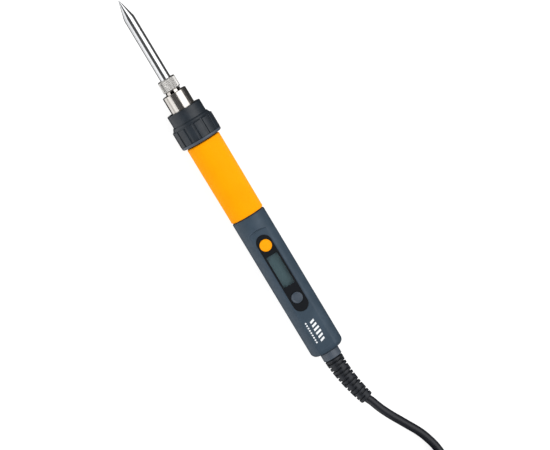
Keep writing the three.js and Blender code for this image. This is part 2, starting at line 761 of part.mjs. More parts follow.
function addCord() {
  const black = finish("#1c1d22", 0.5, 0);
  add("cord_lead", rod(leadPoints, cordRadius, cordSides, 14), black);
  add("cord_tail", rod(tailPoints, cordRadius, cordSides, 10), black);

  const outline = (radius) => {
    const path = new THREE.Shape();
    path.absarc(hank.nearX, hank.middleY, radius, -Math.PI / 2, Math.PI / 2, false);
    path.absarc(hank.farX, hank.middleY, radius, Math.PI / 2, Math.PI * 1.5, false);
    return path;
  };
  const shape = outline(hank.outer);
  shape.holes.push(outline(hank.inner));
  const coil = new THREE.ExtrudeGeometry(shape, {
    depth: hank.height,
    bevelEnabled: false,
    curveSegments: 8,
  });
  const across = hank.outer - hank.inner;
  const middle = hank.middleY + (hank.outer + hank.inner) / 2;
  const under = new THREE.BoxGeometry(strapSlot.length, across + strapSlot.past, strap.under * 2);
  under.translate(strap.x, middle, 0);
  add("cord_hank", toGeometry(toSolid(coil).subtract(toSolid(under))), black);

  const { thick, lift } = strap;
  const top = hank.height + 2 * strap.room + strap.rise;
  const halfIn = across / 2 + strap.room;
  const halfOut = halfIn + thick;
  const box = (half, low, high) =>
    [[-half, low], [half, low], [half, high], [-half, high]].map((p) => new THREE.Vector2(...p));
  const loop = new THREE.Shape(box(halfOut, lift, top + thick));
  loop.holes.push(new THREE.Path(box(halfIn, lift + thick, top)));
  const band = new THREE.ExtrudeGeometry(loop, { depth: strap.width, bevelEnabled: false });
  band.rotateX(Math.PI / 2);
  band.rotateZ(Math.PI / 2);
  band.translate(strap.x - strap.width / 2, middle, 0);
  add("cord_tie", clean(band), finish("#15161a", 0.8, 0));
}

function addPlug() {
  const black = finish("#1a1b1f", 0.45, 0);
  const [half, narrow] = [plugWidth / 2, plugNeck / 2];
  const shape = new THREE.Shape();
  shape.moveTo(plug.face, -half);
  shape.lineTo(plug.shoulder, -half);
  shape.lineTo(plug.body, -narrow);
  shape.lineTo(plug.body, narrow);
  shape.lineTo(plug.shoulder, half);
  shape.lineTo(plug.face, half);
  shape.closePath();
  const body = new THREE.ExtrudeGeometry(shape, { depth: plugThick, bevelEnabled: false });
  body.translate(0, plug.middleY, 0);
  let solid = toSolid(body);
  for (const side of [1, -1]) {
    for (const high of [0, 1]) {
      const bevel = new THREE.BoxGeometry((plug.relief - plug.face) * 2, plugEdge * 2, plugEdge * 2);
      bevel.rotateX(Math.PI / 4);
      bevel.translate(plug.shoulder, plug.middleY + side * half, high * plugThick);
      solid = solid.subtract(toSolid(bevel));
    }
    const bore = plugPin.radius + plugPin.room;
    const socket = new THREE.CylinderGeometry(bore, bore, 2 * (plugPin.root + gap), smallSides);
    socket.rotateZ(Math.PI / 2);
    socket.translate(plug.face, plug.middleY + side * plugPin.spacing / 2, plugThick / 2);
    solid = solid.subtract(toSolid(socket));
    const name = side > 0 ? "plug_pin_left" : "plug_pin_right";
    const profile = [
      [0, plug.face - plugPin.length],
      [plugPinTip.radius, plug.face - plugPin.length],
      [plugPin.radius, plug.face - plugPin.length + plugPinTip.length],
      [plugPin.radius, plug.face + plugPin.root],
      [0, plug.face + plugPin.root],
    ].map(([r, x]) => new THREE.Vector2(r, x));
    const pin = new THREE.LatheGeometry(profile, smallSides);
    pin.rotateZ(-Math.PI / 2);
    pin.translate(0, plug.middleY + side * plugPin.spacing / 2, plugThick / 2);
    add(name, clean(pin), finish("#d2d0c8", 0.25, 1));
  }
  add("plug_body", toGeometry(solid), black);
  const sleeveEnds = [
    [0, plug.body + gap],
    [plugSleeve.wide, plug.body + gap],
    [plugSleeve.narrow, plug.relief - gap],
    [0, plug.relief - gap],
  ].map(([r, x]) => new THREE.Vector2(r, x));
  const relief = new THREE.LatheGeometry(sleeveEnds, smallSides);
  relief.rotateZ(-Math.PI / 2);
  relief.translate(0, plug.middleY, plugThick / 2);
  add("plug_relief", clean(relief), black);
}

addTipParts();
addCollar();
addHeater();
addGrip();
addShells();
addPanel();
addButtons();
addElectronics();
addScrews();
addTail();
addCord();
addPlug();

export default iron;
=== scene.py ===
import math

import bmesh
import bpy
import numpy as np
from mathutils import Matrix, Vector
from mathutils.geometry import tessellate_polygon


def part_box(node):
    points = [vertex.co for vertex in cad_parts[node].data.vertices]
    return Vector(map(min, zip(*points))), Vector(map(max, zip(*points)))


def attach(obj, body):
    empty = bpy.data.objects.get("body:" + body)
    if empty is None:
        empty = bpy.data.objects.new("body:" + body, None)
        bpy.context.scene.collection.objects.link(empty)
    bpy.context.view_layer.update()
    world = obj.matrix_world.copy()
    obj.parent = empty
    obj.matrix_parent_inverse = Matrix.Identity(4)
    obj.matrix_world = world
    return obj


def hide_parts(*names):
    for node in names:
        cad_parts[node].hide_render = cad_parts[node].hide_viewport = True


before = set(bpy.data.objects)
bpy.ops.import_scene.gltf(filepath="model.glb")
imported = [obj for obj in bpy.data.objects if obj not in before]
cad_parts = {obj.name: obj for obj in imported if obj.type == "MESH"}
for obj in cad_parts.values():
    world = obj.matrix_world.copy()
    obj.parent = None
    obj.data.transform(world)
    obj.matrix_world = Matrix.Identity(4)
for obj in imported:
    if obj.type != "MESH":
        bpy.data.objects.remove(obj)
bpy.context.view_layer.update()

mm = 0.001

# The iron's centre line runs along X, and stations are millimetres behind the point of the tip
tipLow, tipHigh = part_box("soldering_tip")
noseX = tipHigh.x
axisZ = (tipLow.z + tipHigh.z) / 2


def span(node):
    # first station, last station and half the width of a node, in millimetres
    low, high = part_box(node)
    return (noseX - high.x) / mm, (noseX - low.x) / mm, (high.y - low.y) / 2 / mm


def heights(node):
    # lowest and highest point of a node above the centre line, in millimetres
    low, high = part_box(node)
    return (low.z - axisZ) / mm, (high.z - axisZ) / mm


def place(station, side, up):
    # metres in the frame from millimetres along, across and above the centre line
    station, side, up = np.broadcast_arrays(station, side, up)
    return np.stack([noseX - station * mm, side * mm, axisZ + up * mm], axis=-1)


def smooth(x):
    # 0 below 0, 1 above 1, and an even curve between
    t = np.clip(x, 0, 1)
    return t * t * (3 - 2 * t)


def lower(a, b, blend):
    # the smaller of two values, with a soft corner as wide as blend
    h = np.clip(0.5 + 0.5 * (b - a) / blend, 0, 1)
    return b + (a - b) * h - blend * h * (1 - h)


# where the camera stands
view = {
    "aim": (-36.45, -10.5),  # millimetres along X and Y to the middle of the view
    "across": 313.5,  # millimetres from the left of the view to its right
    "distance": 2400,
    "tilt": 5.5,  # degrees off straight down, towards the tip
    "turn": (-0.515, 0.857),  # how far right and up in the view the tip points
    "sensor": 36,
    "sees": 100,  # metres
}


def makeCamera():
    # a long lens, looking nearly straight down, with the tip towards the upper left
    tilt = math.radians(view["tilt"])
    right, up = view["turn"]
    along = Vector((math.cos(tilt), 0, -math.sin(tilt)))
    across = Vector((0, 1, 0))
    back = along.cross(across)
    viewRight = (along * right - across * up).normalized()
    viewUp = back.cross(viewRight)
    aim = Vector((view["aim"][0] * mm, view["aim"][1] * mm, axisZ))
    data = bpy.data.cameras.new("camera")
    data.sensor_width = view["sensor"]
    data.lens = view["sensor"] * view["distance"] / view["across"]
    data.clip_end = view["sees"]
    camera = bpy.data.objects.new("camera", data)
    turn = Matrix((viewRight, viewUp, back)).transposed().to_4x4()
    camera.matrix_world = Matrix.Translation(aim + back * view["distance"] * mm) @ turn
    bpy.context.scene.collection.objects.link(camera)
    bpy.context.scene.camera = camera


makeCamera()
print("camera placed")


def linear(hexColour):
    # an sRGB hex colour as the linear values that a shader works with
    parts = [int(hexColour[i:i + 2], 16) / 255 for i in (1, 3, 5)]
    return [c / 12.92 if c <= 0.04045 else ((c + 0.055) / 1.055) ** 2.4 for c in parts] + [1]


def addNode(tree, kind, settings=None, inputs=None):
    # one node with its settings, and with a value or a link on each input named
    node = tree.nodes.new("ShaderNode" + kind)
    for key, value in (settings or {}).items():
        if key == "ramp":
            while len(node.color_ramp.elements) < len(value):
                node.color_ramp.elements.new(0.5)
            for element, (position, colour) in zip(node.color_ramp.elements, value):
                element.position = position
                element.color = colour
        elif key == "interpolation":
            node.color_ramp.interpolation = value
        else:
            setattr(node, key, value)
    for key, value in (inputs or {}).items():
        if isinstance(value, bpy.types.NodeSocket):
            tree.links.new(value, node.inputs[key])
        else:
            node.inputs[key].default_value = value
    return node


def cells(size):
    # pattern scale that gives cells of that many millimetres
    return 1 / (size * mm)


def startMaterial(name, settings):
    # a Principled material, and the Object coordinates that its patterns read
    material = bpy.data.materials.new(name)
    material.use_nodes = True
    tree = material.node_tree
    shader = tree.nodes["Principled BSDF"]
    for key, value in settings.items():
        shader.inputs[key].default_value = value
    where = addNode(tree, "TexCoord").outputs["Object"]
    return material, tree, shader, where


def grey(value):
    # a neutral colour
    return [value, value, value, 1]


collarLip = 90.3  # station where the collar's rear lip begins


# Each material below is named for the real finish, and its pattern sizes are millimetres.
def mouldedPlastic(name, colour, worn, roughness, grain, depth, settings=None):
    # Injection-moulded plastic: an even colour with faint flow clouds, a fine spark-eroded grain from
    # the mould, and small patches that handling has rubbed smoother and lighter.
    base = {"Roughness": roughness, "IOR": 1.5, **(settings or {})}
    material, tree, shader, where = startMaterial(name, base)
    clouds = addNode(tree, "TexNoise", inputs={"Vector": where, "Scale": cells(9), "Detail": 4.0})
    wearAndPaintedHighlight = addNode(tree, "TexNoise", inputs={"Vector": where, "Scale": cells(2.6), "Detail": 6.0})
    mask = addNode(tree, "ValToRGB", {"ramp": [(0.45, grey(0)), (0.75, grey(1))]},
                   {"Fac": clouds.outputs["Fac"]})
    tint = addNode(tree, "MixRGB", inputs={"Fac": mask.outputs["Color"], "Color1": linear(colour),
                                           "Color2": linear(worn)})
    tree.links.new(tint.outputs["Color"], shader.inputs["Base Color"])
    gloss = addNode(tree, "MapRange", inputs={"Value": wearAndPaintedHighlight.outputs["Fac"], "From Min": 0.3,
                                              "From Max": 0.7,
                                              "To Min": roughness + 0.05, "To Max": roughness - 0.05})
    tree.links.new(gloss.outputs["Result"], shader.inputs["Roughness"])
    pits = addNode(tree, "TexNoise", inputs={"Vector": where, "Scale": cells(grain), "Detail": 3.0})
    bump = addNode(tree, "Bump", inputs={"Height": pits.outputs["Fac"], "Strength": depth,
                                         "Distance": 0.0001})
    tree.links.new(bump.outputs["Normal"], shader.inputs["Normal"])
    return material


def turnedMetal(name, colour, dark, roughness, rings, streaks, depth):
    # Bright metal off a lathe: fine rings round the part, faint drawn streaks along it, and a thin
    # uneven film of handling that breaks up the reflections.
    material, tree, shader, where = startMaterial(name, {"Metallic": 1.0, "Roughness": roughness})
    stretch = addNode(tree, "Mapping", inputs={"Vector": where, "Scale": (cells(rings), cells(9), cells(9))})
    lathe = addNode(tree, "TexNoise", inputs={"Vector": stretch.outputs["Vector"], "Scale": 1.0,
                                              "Detail": 2.0})
    drawn = addNode(tree, "Mapping", inputs={"Vector": where,
                                             "Scale": (cells(60), cells(streaks), cells(streaks))})
    along = addNode(tree, "TexNoise", inputs={"Vector": drawn.outputs["Vector"], "Scale": 1.0, "Detail": 3.0})
    film = addNode(tree, "TexNoise", inputs={"Vector": where, "Scale": cells(7), "Detail": 5.0})
    tint = addNode(tree, "MixRGB", inputs={"Color1": linear(colour), "Color2": linear(dark)})
    shade = addNode(tree, "ValToRGB", {"ramp": [(0.4, grey(0)), (0.75, grey(0.9))]},
                    {"Fac": along.outputs["Fac"]})
    tree.links.new(shade.outputs["Color"], tint.inputs["Fac"])
    tree.links.new(tint.outputs["Color"], shader.inputs["Base Color"])
    gloss = addNode(tree, "MapRange", inputs={"Value": film.outputs["Fac"], "From Min": 0.3, "From Max": 0.7,
                                              "To Min": roughness * 0.75, "To Max": roughness * 1.4})
    tree.links.new(gloss.outputs["Result"], shader.inputs["Roughness"])
    bump = addNode(tree, "Bump", inputs={"Height": lathe.outputs["Fac"], "Strength": depth,
                                         "Distance": 0.00005})
    tree.links.new(bump.outputs["Normal"], shader.inputs["Normal"])
    return material


def ribbedNylon(colour, worn, lip):
    # Glass-filled nylon: the moulded plastic above, with its rear lip painted paler as a painted highlight
    # where its rim catches light, mixed in along X over half a millimetre.
    material = mouldedPlastic("glassFilledNylon", colour, worn, 0.45, 0.16, 0.25)
    tree = material.node_tree
    colourSocket = tree.nodes["Principled BSDF"].inputs["Base Color"]
    plain = colourSocket.links[0].from_socket
    where = addNode(tree, "TexCoord").outputs["Object"]
    parts = addNode(tree, "SeparateXYZ", inputs={"Vector": where})
    lipStart = place(collarLip, 0, 0)[0]
    # painted highlight: the rear lip gets the paler lip colour
    wearAndPaintedHighlight = addNode(tree, "MapRange", inputs={"Value": parts.outputs["X"], "From Min": lipStart,
                                               "From Max": lipStart - 0.5 * mm})
    tint = addNode(tree, "MixRGB", inputs={"Fac": wearAndPaintedHighlight.outputs["Result"], "Color1": plain,
                                           "Color2": linear(lip)})
    tree.links.new(tint.outputs["Color"], colourSocket)
    return material


def softRubber(name, colour, shade, roughness, grain, depth, settings=None):
    # Moulded silicone or PVC: dense colour, a dry bloom that shifts the shade slightly, and a fine
    # leathery skin.
    base = {"Roughness": roughness, "IOR": 1.42, **(settings or {})}
    material, tree, shader, where = startMaterial(name, base)
    bloom = addNode(tree, "TexNoise", inputs={"Vector": where, "Scale": cells(14), "Detail": 3.0})
    tint = addNode(tree, "MixRGB", inputs={"Color1": linear(colour), "Color2": linear(shade)})
    mask = addNode(tree, "ValToRGB", {"ramp": [(0.35, grey(0)), (0.8, grey(1))]},
                   {"Fac": bloom.outputs["Fac"]})
    tree.links.new(mask.outputs["Color"], tint.inputs["Fac"])
    tree.links.new(tint.outputs["Color"], shader.inputs["Base Color"])
    skin = addNode(tree, "TexVoronoi", inputs={"Vector": where, "Scale": cells(grain)})
    dust = addNode(tree, "MapRange", inputs={"Value": bloom.outputs["Fac"], "From Min": 0.3, "From Max": 0.7,
                                             "To Min": roughness - 0.04, "To Max": roughness + 0.06})
    tree.links.new(dust.outputs["Result"], shader.inputs["Roughness"])
    bump = addNode(tree, "Bump", inputs={"Height": skin.outputs["Distance"], "Strength": depth,
                                         "Distance": 0.0001})
    tree.links.new(bump.outputs["Normal"], shader.inputs["Normal"])
    return material


def acrylicPane(name, colour, alpha, roughness):
    # Polished acrylic: deep and glossy, with hairline scratches and a little dust that only shows
    # where it catches the light.
    material, tree, shader, where = startMaterial(name, {
        "Base Color": linear(colour), "IOR": 1.49, "Alpha": alpha, "Coat Weight": 0.5,
        "Coat Roughness": 0.04})
    drawn = addNode(tree, "Mapping", inputs={"Vector": where, "Rotation": (0, 0, 0.5),
                                              "Scale": (cells(8), cells(0.25), cells(2))})
    hairs = addNode(tree, "TexNoise", inputs={"Vector": drawn.outputs["Vector"], "Scale": 1.0, "Detail": 4.0})
    specks = addNode(tree, "TexNoise", inputs={"Vector": where, "Scale": cells(0.5), "Detail": 2.0})
    dust = addNode(tree, "ValToRGB", {"ramp": [(0.62, grey(0)), (0.75, grey(1))]},
                   {"Fac": specks.outputs["Fac"]})
    gloss = addNode(tree, "MapRange", inputs={"Value": dust.outputs["Color"], "To Min": roughness,
                                              "To Max": roughness + 0.15})
    tree.links.new(gloss.outputs["Result"], shader.inputs["Roughness"])
    bump = addNode(tree, "Bump", inputs={"Height": hairs.outputs["Fac"], "Strength": 0.06,
                                         "Distance": 0.0001})
    tree.links.new(bump.outputs["Normal"], shader.inputs["Normal"])
    return material


def displayGlass():
    # Reflective liquid-crystal display: grey-green under its polariser, with a fine grid of electrodes
    # that is barely there and a glossy glass face.
    material, tree, shader, where = startMaterial("liquidCrystalGlass", {
        "Roughness": 0.3, "Coat Weight": 0.35, "Coat Roughness": 0.08, "IOR": 1.5})
    haze = addNode(tree, "TexNoise", inputs={"Vector": where, "Scale": cells(6), "Detail": 3.0})
    parts = addNode(tree, "SeparateXYZ", inputs={"Vector": where})
    # electrode lines are really some 0.1 mm apart, and drawn four times as coarse
    rows = addNode(tree, "Math", {"operation": "PINGPONG"}, {0: parts.outputs["X"], 1: 0.0002})
    columns = addNode(tree, "Math", {"operation": "PINGPONG"}, {0: parts.outputs["Y"], 1: 0.0002})
    grid = addNode(tree, "Math", {"operation": "MINIMUM"}, {0: rows.outputs[0], 1: columns.outputs[0]})
    line = addNode(tree, "MapRange", inputs={"Value": grid.outputs[0], "From Max": 0.00004,
                                             "To Min": 0.35, "To Max": 0.0})
    base = addNode(tree, "MixRGB", inputs={"Fac": haze.outputs["Fac"], "Color1": linear("#64828a"),
                                           "Color2": linear("#78979c")})
    tint = addNode(tree, "MixRGB", inputs={"Fac": line.outputs["Result"], "Color1": base.outputs["Color"],
                                           "Color2": linear("#56727a")})
    tree.links.new(tint.outputs["Color"], shader.inputs["Base Color"])
    return material


def padPrint():
    # Pad-printed ink: a thin matt white film, a little uneven, with pinholes.
    material, tree, shader, where = startMaterial("padPrintInk", {"Roughness": 0.55, "IOR": 1.48})
    blots = addNode(tree, "TexNoise", inputs={"Vector": where, "Scale": cells(0.35), "Detail": 4.0})
    tint = addNode(tree, "ValToRGB", {"ramp": [(0.3, linear("#b9c2ca")), (0.5, linear("#eef1f3"))]},
                   {"Fac": blots.outputs["Fac"]})
    tree.links.new(tint.outputs["Color"], shader.inputs["Base Color"])
    bump = addNode(tree, "Bump", inputs={"Height": blots.outputs["Fac"], "Strength": 0.2,
                                         "Distance": 0.00005})
    tree.links.new(bump.outputs["Normal"], shader.inputs["Normal"])
    return material


def glazedCeramic():
    # Alumina: chalky white with a hint of grain and grey scorch marks scattered over it.
    material, tree, shader, where = startMaterial("sinteredAlumina", {"Roughness": 0.5, "IOR": 1.76})
    grains = addNode(tree, "TexVoronoi", inputs={"Vector": where, "Scale": cells(0.3)})
    scorch = addNode(tree, "TexNoise", inputs={"Vector": where, "Scale": cells(8), "Detail": 5.0})
    mask = addNode(tree, "ValToRGB", {"ramp": [(0.5, grey(0)), (0.8, grey(1))]},
                   {"Fac": scorch.outputs["Fac"]})
    tint = addNode(tree, "MixRGB", inputs={"Fac": mask.outputs["Color"], "Color1": linear("#e9e5dc"),
                                           "Color2": linear("#b9aa92")})
    tree.links.new(tint.outputs["Color"], shader.inputs["Base Color"])
    bump = addNode(tree, "Bump", inputs={"Height": grains.outputs["Distance"], "Strength": 0.15,
                                         "Distance": 0.00005})
    tree.links.new(bump.outputs["Normal"], shader.inputs["Normal"])
    return material


def circuitBoard():
    # Glass-epoxy board under green solder resist: copper tracks show as paler green lines, and tinned
    # pads as bright dots.
    material, tree, shader, where = startMaterial("solderResistBoard",
                                                  {"Roughness": 0.35, "Coat Weight": 0.3})
    tracks = addNode(tree, "TexBrick", {"offset": 0.5, "squash": 1.0}, {
        "Vector": where, "Scale": cells(6), "Mortar Size": 0.06, "Brick Width": 0.9, "Row Height": 0.22,
        "Color1": linear("#1c5a37"), "Color2": linear("#1f6340"), "Mortar": linear("#3f8a5c")})
    pads = addNode(tree, "TexVoronoi", inputs={"Vector": where, "Scale": cells(2.5), "Randomness": 0.4})
    dots = addNode(tree, "ValToRGB", {"ramp": [(0.14, grey(1)), (0.18, grey(0))]},
                   {"Fac": pads.outputs["Distance"]})
    tint = addNode(tree, "MixRGB", inputs={"Fac": dots.outputs["Color"], "Color1": tracks.outputs["Color"],
                                           "Color2": linear("#c9ccc6")})
    tree.links.new(tint.outputs["Color"], shader.inputs["Base Color"])
    tree.links.new(dots.outputs["Color"], shader.inputs["Metallic"])
    return material


def bandedResistor(start, length):
    # Metal-film resistor: glossy blue lacquer with four colour bands round it.
    material, tree, shader, where = startMaterial("lacqueredResistor",
                                                  {"Roughness": 0.25, "Coat Weight": 0.4})
    parts = addNode(tree, "SeparateXYZ", inputs={"Vector": where})
    share = addNode(tree, "MapRange", inputs={"Value": parts.outputs["X"], "From Min": start,
                                              "From Max": start + length})
    blue, brown, black, red = (linear(c) for c in ("#7fa8cc", "#5a3217", "#141414", "#a82a1e"))
    bands = addNode(tree, "ValToRGB", {"interpolation": "CONSTANT", "ramp": [
        (0.0, blue), (0.18, brown), (0.26, blue), (0.36, black), (0.44, blue), (0.54, red), (0.62, blue),
        (0.78, brown), (0.86, blue)]}, {"Fac": share.outputs["Result"]})
    tree.links.new(bands.outputs["Color"], shader.inputs["Base Color"])
    mottle = addNode(tree, "TexNoise", inputs={"Vector": where, "Scale": cells(1.5)})
    bump = addNode(tree, "Bump", inputs={"Height": mottle.outputs["Fac"], "Strength": 0.3,
                                         "Distance": 0.0001})
    tree.links.new(bump.outputs["Normal"], shader.inputs["Normal"])
    return material


resistorLow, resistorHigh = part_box("fuse_resistor")
finishes = {
    # plated iron tip, polished: near-mirror bands with fine lathe rings
    "tip": turnedMetal("platedTip", "#d6d7d9", "#b4b6b9", 0.13, 0.12, 1.2, 0.10),
    # nickel plate on a knurled nut: whiter and brighter than steel
    "nut": turnedMetal("nickelPlate", "#cfcdca", "#b2b0ad", 0.28, 0.2, 0.8, 0.10),
    # stainless tube, drawn and polished: warm grey with streaks along it
    "barrel": turnedMetal("drawnStainless", "#d8d4cf", "#98928b", 0.16, 0.4, 0.5, 0.06),
    # painted shade in the notches of the neck: a dark steel for the faces inside them
    "notchShade": turnedMetal("notchShadeSteel", "#3a3836", "#262423", 0.5, 0.3, 0.6, 0.3),
    # zinc-plated screws: duller, with a slight haze
    "screw": turnedMetal("zincPlate", "#b9bcc0", "#8e9196", 0.32, 0.15, 0.6, 0.2),
    # nickelled brass pins: smooth and faintly yellow
    "pin": turnedMetal("nickelledBrass", "#d9d5c9", "#bdb7a6", 0.2, 0.2, 1.0, 0.1),
    # heater: white alumina
    "ceramic": glazedCeramic(),
    # glass-filled nylon collar: blue-black, satin, slightly streaky, with a painted highlight on its rear lip
    "collar": ribbedNylon("#182028", "#212a33", "#414a55"),
    # heat-proof phenolic insert: brown-black and dense
    "insert": mouldedPlastic("phenolic", "#2a2320", "#3a302a", 0.45, 0.3, 0.3),
    # silicone sleeve: saturated yellow-orange, satin, with a soft skin
    "sleeve": softRubber("satinSilicone", "#ffa200", "#ff9b00", 0.6, 0.35, 0.08,
                         {"Specular IOR Level": 0.06}),
    # slate-coloured polycarbonate blend: fine spark-eroded grain
    "handle": mouldedPlastic("sparkErodedShell", "#31404d", "#3a4957", 0.5, 0.22, 0.3,
                             {"Specular IOR Level": 0.3}),
    # black-backed acrylic window
    "lens": acrylicPane("blackedAcrylic", "#14171b", 1.0, 0.08),
    # smoked clear part of the window
    "pane": acrylicPane("smokedAcrylic", "#20262b", 0.22, 0.05),
    "display": displayGlass(),
    # white frame round the display
    "frame": mouldedPlastic("whiteStyrene", "#e4e4df", "#d6d6cf", 0.45, 0.3, 0.2),
    # keys: hard yellow, and slate
    "yellowKey": mouldedPlastic("yellowKeycap", "#ffa200", "#ff9a00", 0.4, 0.25, 0.15,
                                {"Specular IOR Level": 0.1}),
    "greyKey": mouldedPlastic("slateKeycap", "#36414c", "#3f4a56", 0.4, 0.25, 0.2),
    "print": padPrint(),
    "board": circuitBoard(),
    # moulded epoxy packages: dark grey with a matt grain
    "package": mouldedPlastic("mouldedEpoxy", "#1c1c1e", "#262628", 0.55, 0.2, 0.4),
    # dipped film capacitor: amber lacquer
    "capacitor": mouldedPlastic("dippedLacquer", "#b8862c", "#c79438", 0.25, 1.2, 0.4),
    "resistor": bandedResistor(resistorLow.x, resistorHigh.x - resistorLow.x),
    # silicone wire insulation
    "redWire": softRubber("redInsulation", "#a32c22", "#8f241c", 0.45, 0.4, 0.15),
    "blueWire": softRubber("blueInsulation", "#2f4f93", "#284480", 0.45, 0.4, 0.15),
    # strain relief: flexible PVC, matt blue-black
    "relief": softRubber("flexiblePvc", "#171a20", "#20242b", 0.5, 0.4, 0.15),
    # cord jacket: smoother PVC with a soft sheen
    "cord": softRubber("cordJacket", "#16171d", "#1c1e25", 0.38, 0.5, 0.10),
    # moulded plug: harder PVC
    "plug": mouldedPlastic("mouldedPvcPlug", "#17181c", "#202227", 0.42, 0.4, 0.3),
    # hook-and-loop tie: a fuzzy black nap
    "tie": softRubber("nylonHookTape", "#121317", "#24262c", 0.85, 0.45, 0.9, {"Sheen Weight": 0.3}),
}
print("materials made:", len(finishes))


def finishPiece(piece, finish, body, slot, *nodes):
    # gives a piece its material and its body, and hides the nodes it stands for; slot is not used
    piece.data.materials.append(finishes[finish])
    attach(piece, body)
    if nodes:
        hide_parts(*nodes)
    return piece


def solidFrom(name, points, faces, corner=38):
    # a closed mesh of points in metres, welded, with its faces turned outwards
    mesh = bpy.data.meshes.new(name)
    mesh.from_pydata(points, [], faces)
    work = bmesh.new()
    work.from_mesh(mesh)
    bmesh.ops.remove_doubles(work, verts=work.verts, dist=2e-7)
    bmesh.ops.recalc_face_normals(work, faces=work.faces)
    if work.calc_volume(signed=True) < 0:
        bmesh.ops.reverse_faces(work, faces=work.faces)
    work.to_mesh(mesh)
    work.free()
    mesh.shade_smooth()
    mesh.set_sharp_from_angle(angle=math.radians(corner))
    piece = bpy.data.objects.new(name, mesh)
    bpy.context.scene.collection.objects.link(piece)
    return piece


def gridFaces(rows, columns, rowsClose, columnsClose):
    # four corners of each cell of a grid of points, wrapping round where the grid closes on itself
    i = np.arange(rows if rowsClose else rows - 1)[:, None]
    j = np.arange(columns if columnsClose else columns - 1)[None, :]
    after, beside = (i + 1) % rows, (j + 1) % columns
    cells4 = [i * columns + j, i * columns + beside, after * columns + beside, after * columns + j]
    return np.stack(np.broadcast_arrays(*cells4), axis=-1).reshape(-1, 4)


def rounded(corners, closed=True, steps=5):
    # A profile of (station, radius, rounding): a rounding puts an arc of that radius at its corner.
    # Straight stretches get a point just inside each end, which keeps the shading flat between them.
    points = []
    for i, (s, r, rounding) in enumerate(corners):
        here = np.array((s, r), float)
        if not rounding or (not closed and i in (0, len(corners) - 1)):
            points.append(here)
            continue
        before = np.array(corners[i - 1][:2]) - here
        after = np.array(corners[(i + 1) % len(corners)][:2]) - here
        before /= np.linalg.norm(before)
        after /= np.linalg.norm(after)
        half = math.acos(np.clip(before @ after, -1, 1)) / 2
        middle = here + (before + after) / np.linalg.norm(before + after) * rounding / math.sin(half)
        first = here + before * rounding / math.tan(half) - middle
        last = here + after * rounding / math.tan(half) - middle
        begin = math.atan2(first[1], first[0])
        swing = (math.atan2(last[1], last[0]) - begin + math.pi) % (2 * math.pi) - math.pi
        angle = begin + swing * np.linspace(0, 1, steps + 1)
        points.extend(middle + rounding * np.stack([np.cos(angle), np.sin(angle)], axis=1))
    ends = points[1:] + points[:1] if closed else points[1:]
    inset, filled = 0.07, []
    for a, b in zip(points, ends):
        filled.append(a)
        far = np.linalg.norm(b - a)
        if far > 5 * inset:
            filled += [a + (b - a) * inset / far, b - (b - a) * inset / far]
    return np.array(filled if closed else filled + points[-1:])


def spaced(profile, step, closed=True):
    # the same profile with points at most a step apart
    ends = np.roll(profile, -1, axis=0) if closed else profile[1:]
    starts = profile if closed else profile[:-1]
    parts = []
    for a, b in zip(starts, ends):
        count = max(1, math.ceil(np.linalg.norm(b - a) / step))
        parts.append(a + (b - a) * np.linspace(0, 1, count, endpoint=False)[:, None])
    return np.concatenate(parts if closed else parts + [profile[-1:]])


def turned(name, profile, sides=96, closed=True, relief=None):
    # A profile of stations and radii carried round the centre line; relief adds to the radius by
    # station, radius and angle from the top.
    angle = np.linspace(0, 2 * math.pi, sides, endpoint=False)
    s, r = profile[:, :1], profile[:, 1:]
    r = r + (relief(s, r, angle[None, :]) if relief else 0 * angle)
    points = place(s, r * np.sin(angle), r * np.cos(angle)).reshape(-1, 3)
    return solidFrom(name, points, gridFaces(len(profile), sides, closed, True))


def turnedUpright(name, station, side, profile, sides=64, rise=None):
    # A profile of radii and heights carried round an upright line; rise adds to the height by radius
    # and angle.
    angle = np.linspace(0, 2 * math.pi, sides, endpoint=False)
    r, z = profile[:, :1], profile[:, 1:]
    x, y = r * np.cos(angle), r * np.sin(angle)
    z = z + (rise(r, z, x, y) if rise else 0 * angle)
    points = place(station + x, side + y, z).reshape(-1, 3)
    return solidFrom(name, points, gridFaces(len(profile), sides, False, True))


def plate(name, loops, low, high, edge=0.0, levels=3):
    # A flat plate between two heights: the first loop of (station, side) points is its outline, the
    # rest are holes. Its hard edges get a small bevel.
    flat = [p for loop in loops for p in loop]
    total = len(flat)
    fans = tessellate_polygon([[Vector((x, y, 0)) for x, y in loop] for loop in loops])
    xy = np.array(flat)
    points = np.concatenate([place(xy[:, 0], xy[:, 1], low), place(xy[:, 0], xy[:, 1], high)])
    faces = [tuple(f) for f in fans] + [tuple(i + total for i in reversed(f)) for f in fans]
    start = 0
    for loop in loops:
        n = len(loop)
        i = np.arange(n)
        j = (i + 1) % n
        faces += (start + np.stack([i, j, j + total, i + total], axis=1)).tolist()
        start += n
    piece = solidFrom(name, points, faces)
    if edge:
        bevel = piece.modifiers.new("edge", "BEVEL")
        bevel.width = edge * mm
        bevel.segments = levels
        bevel.limit_method = "ANGLE"
        bevel.angle_limit = math.radians(50)
        bevel.harden_normals = True
    return piece


def stadium(start, end, halfWidth, steps=24):
    # a slot's outline: two half circles joined by straight sides
    angle = np.linspace(-math.pi / 2, math.pi / 2, steps)
    far = np.stack([end - halfWidth + halfWidth * np.cos(angle), halfWidth * np.sin(angle)], axis=1)
    near = np.stack([start + halfWidth - halfWidth * np.cos(angle), -halfWidth * np.sin(angle)], axis=1)
    return np.concatenate([far, near]).tolist()


def circle(station, radius, steps=64):
    # points round a circle on the centre line: cosine along, sine across
    angle = np.linspace(0, 2 * math.pi, steps, endpoint=False)
    return np.stack([station + radius * np.cos(angle), radius * np.sin(angle)], axis=1).tolist()


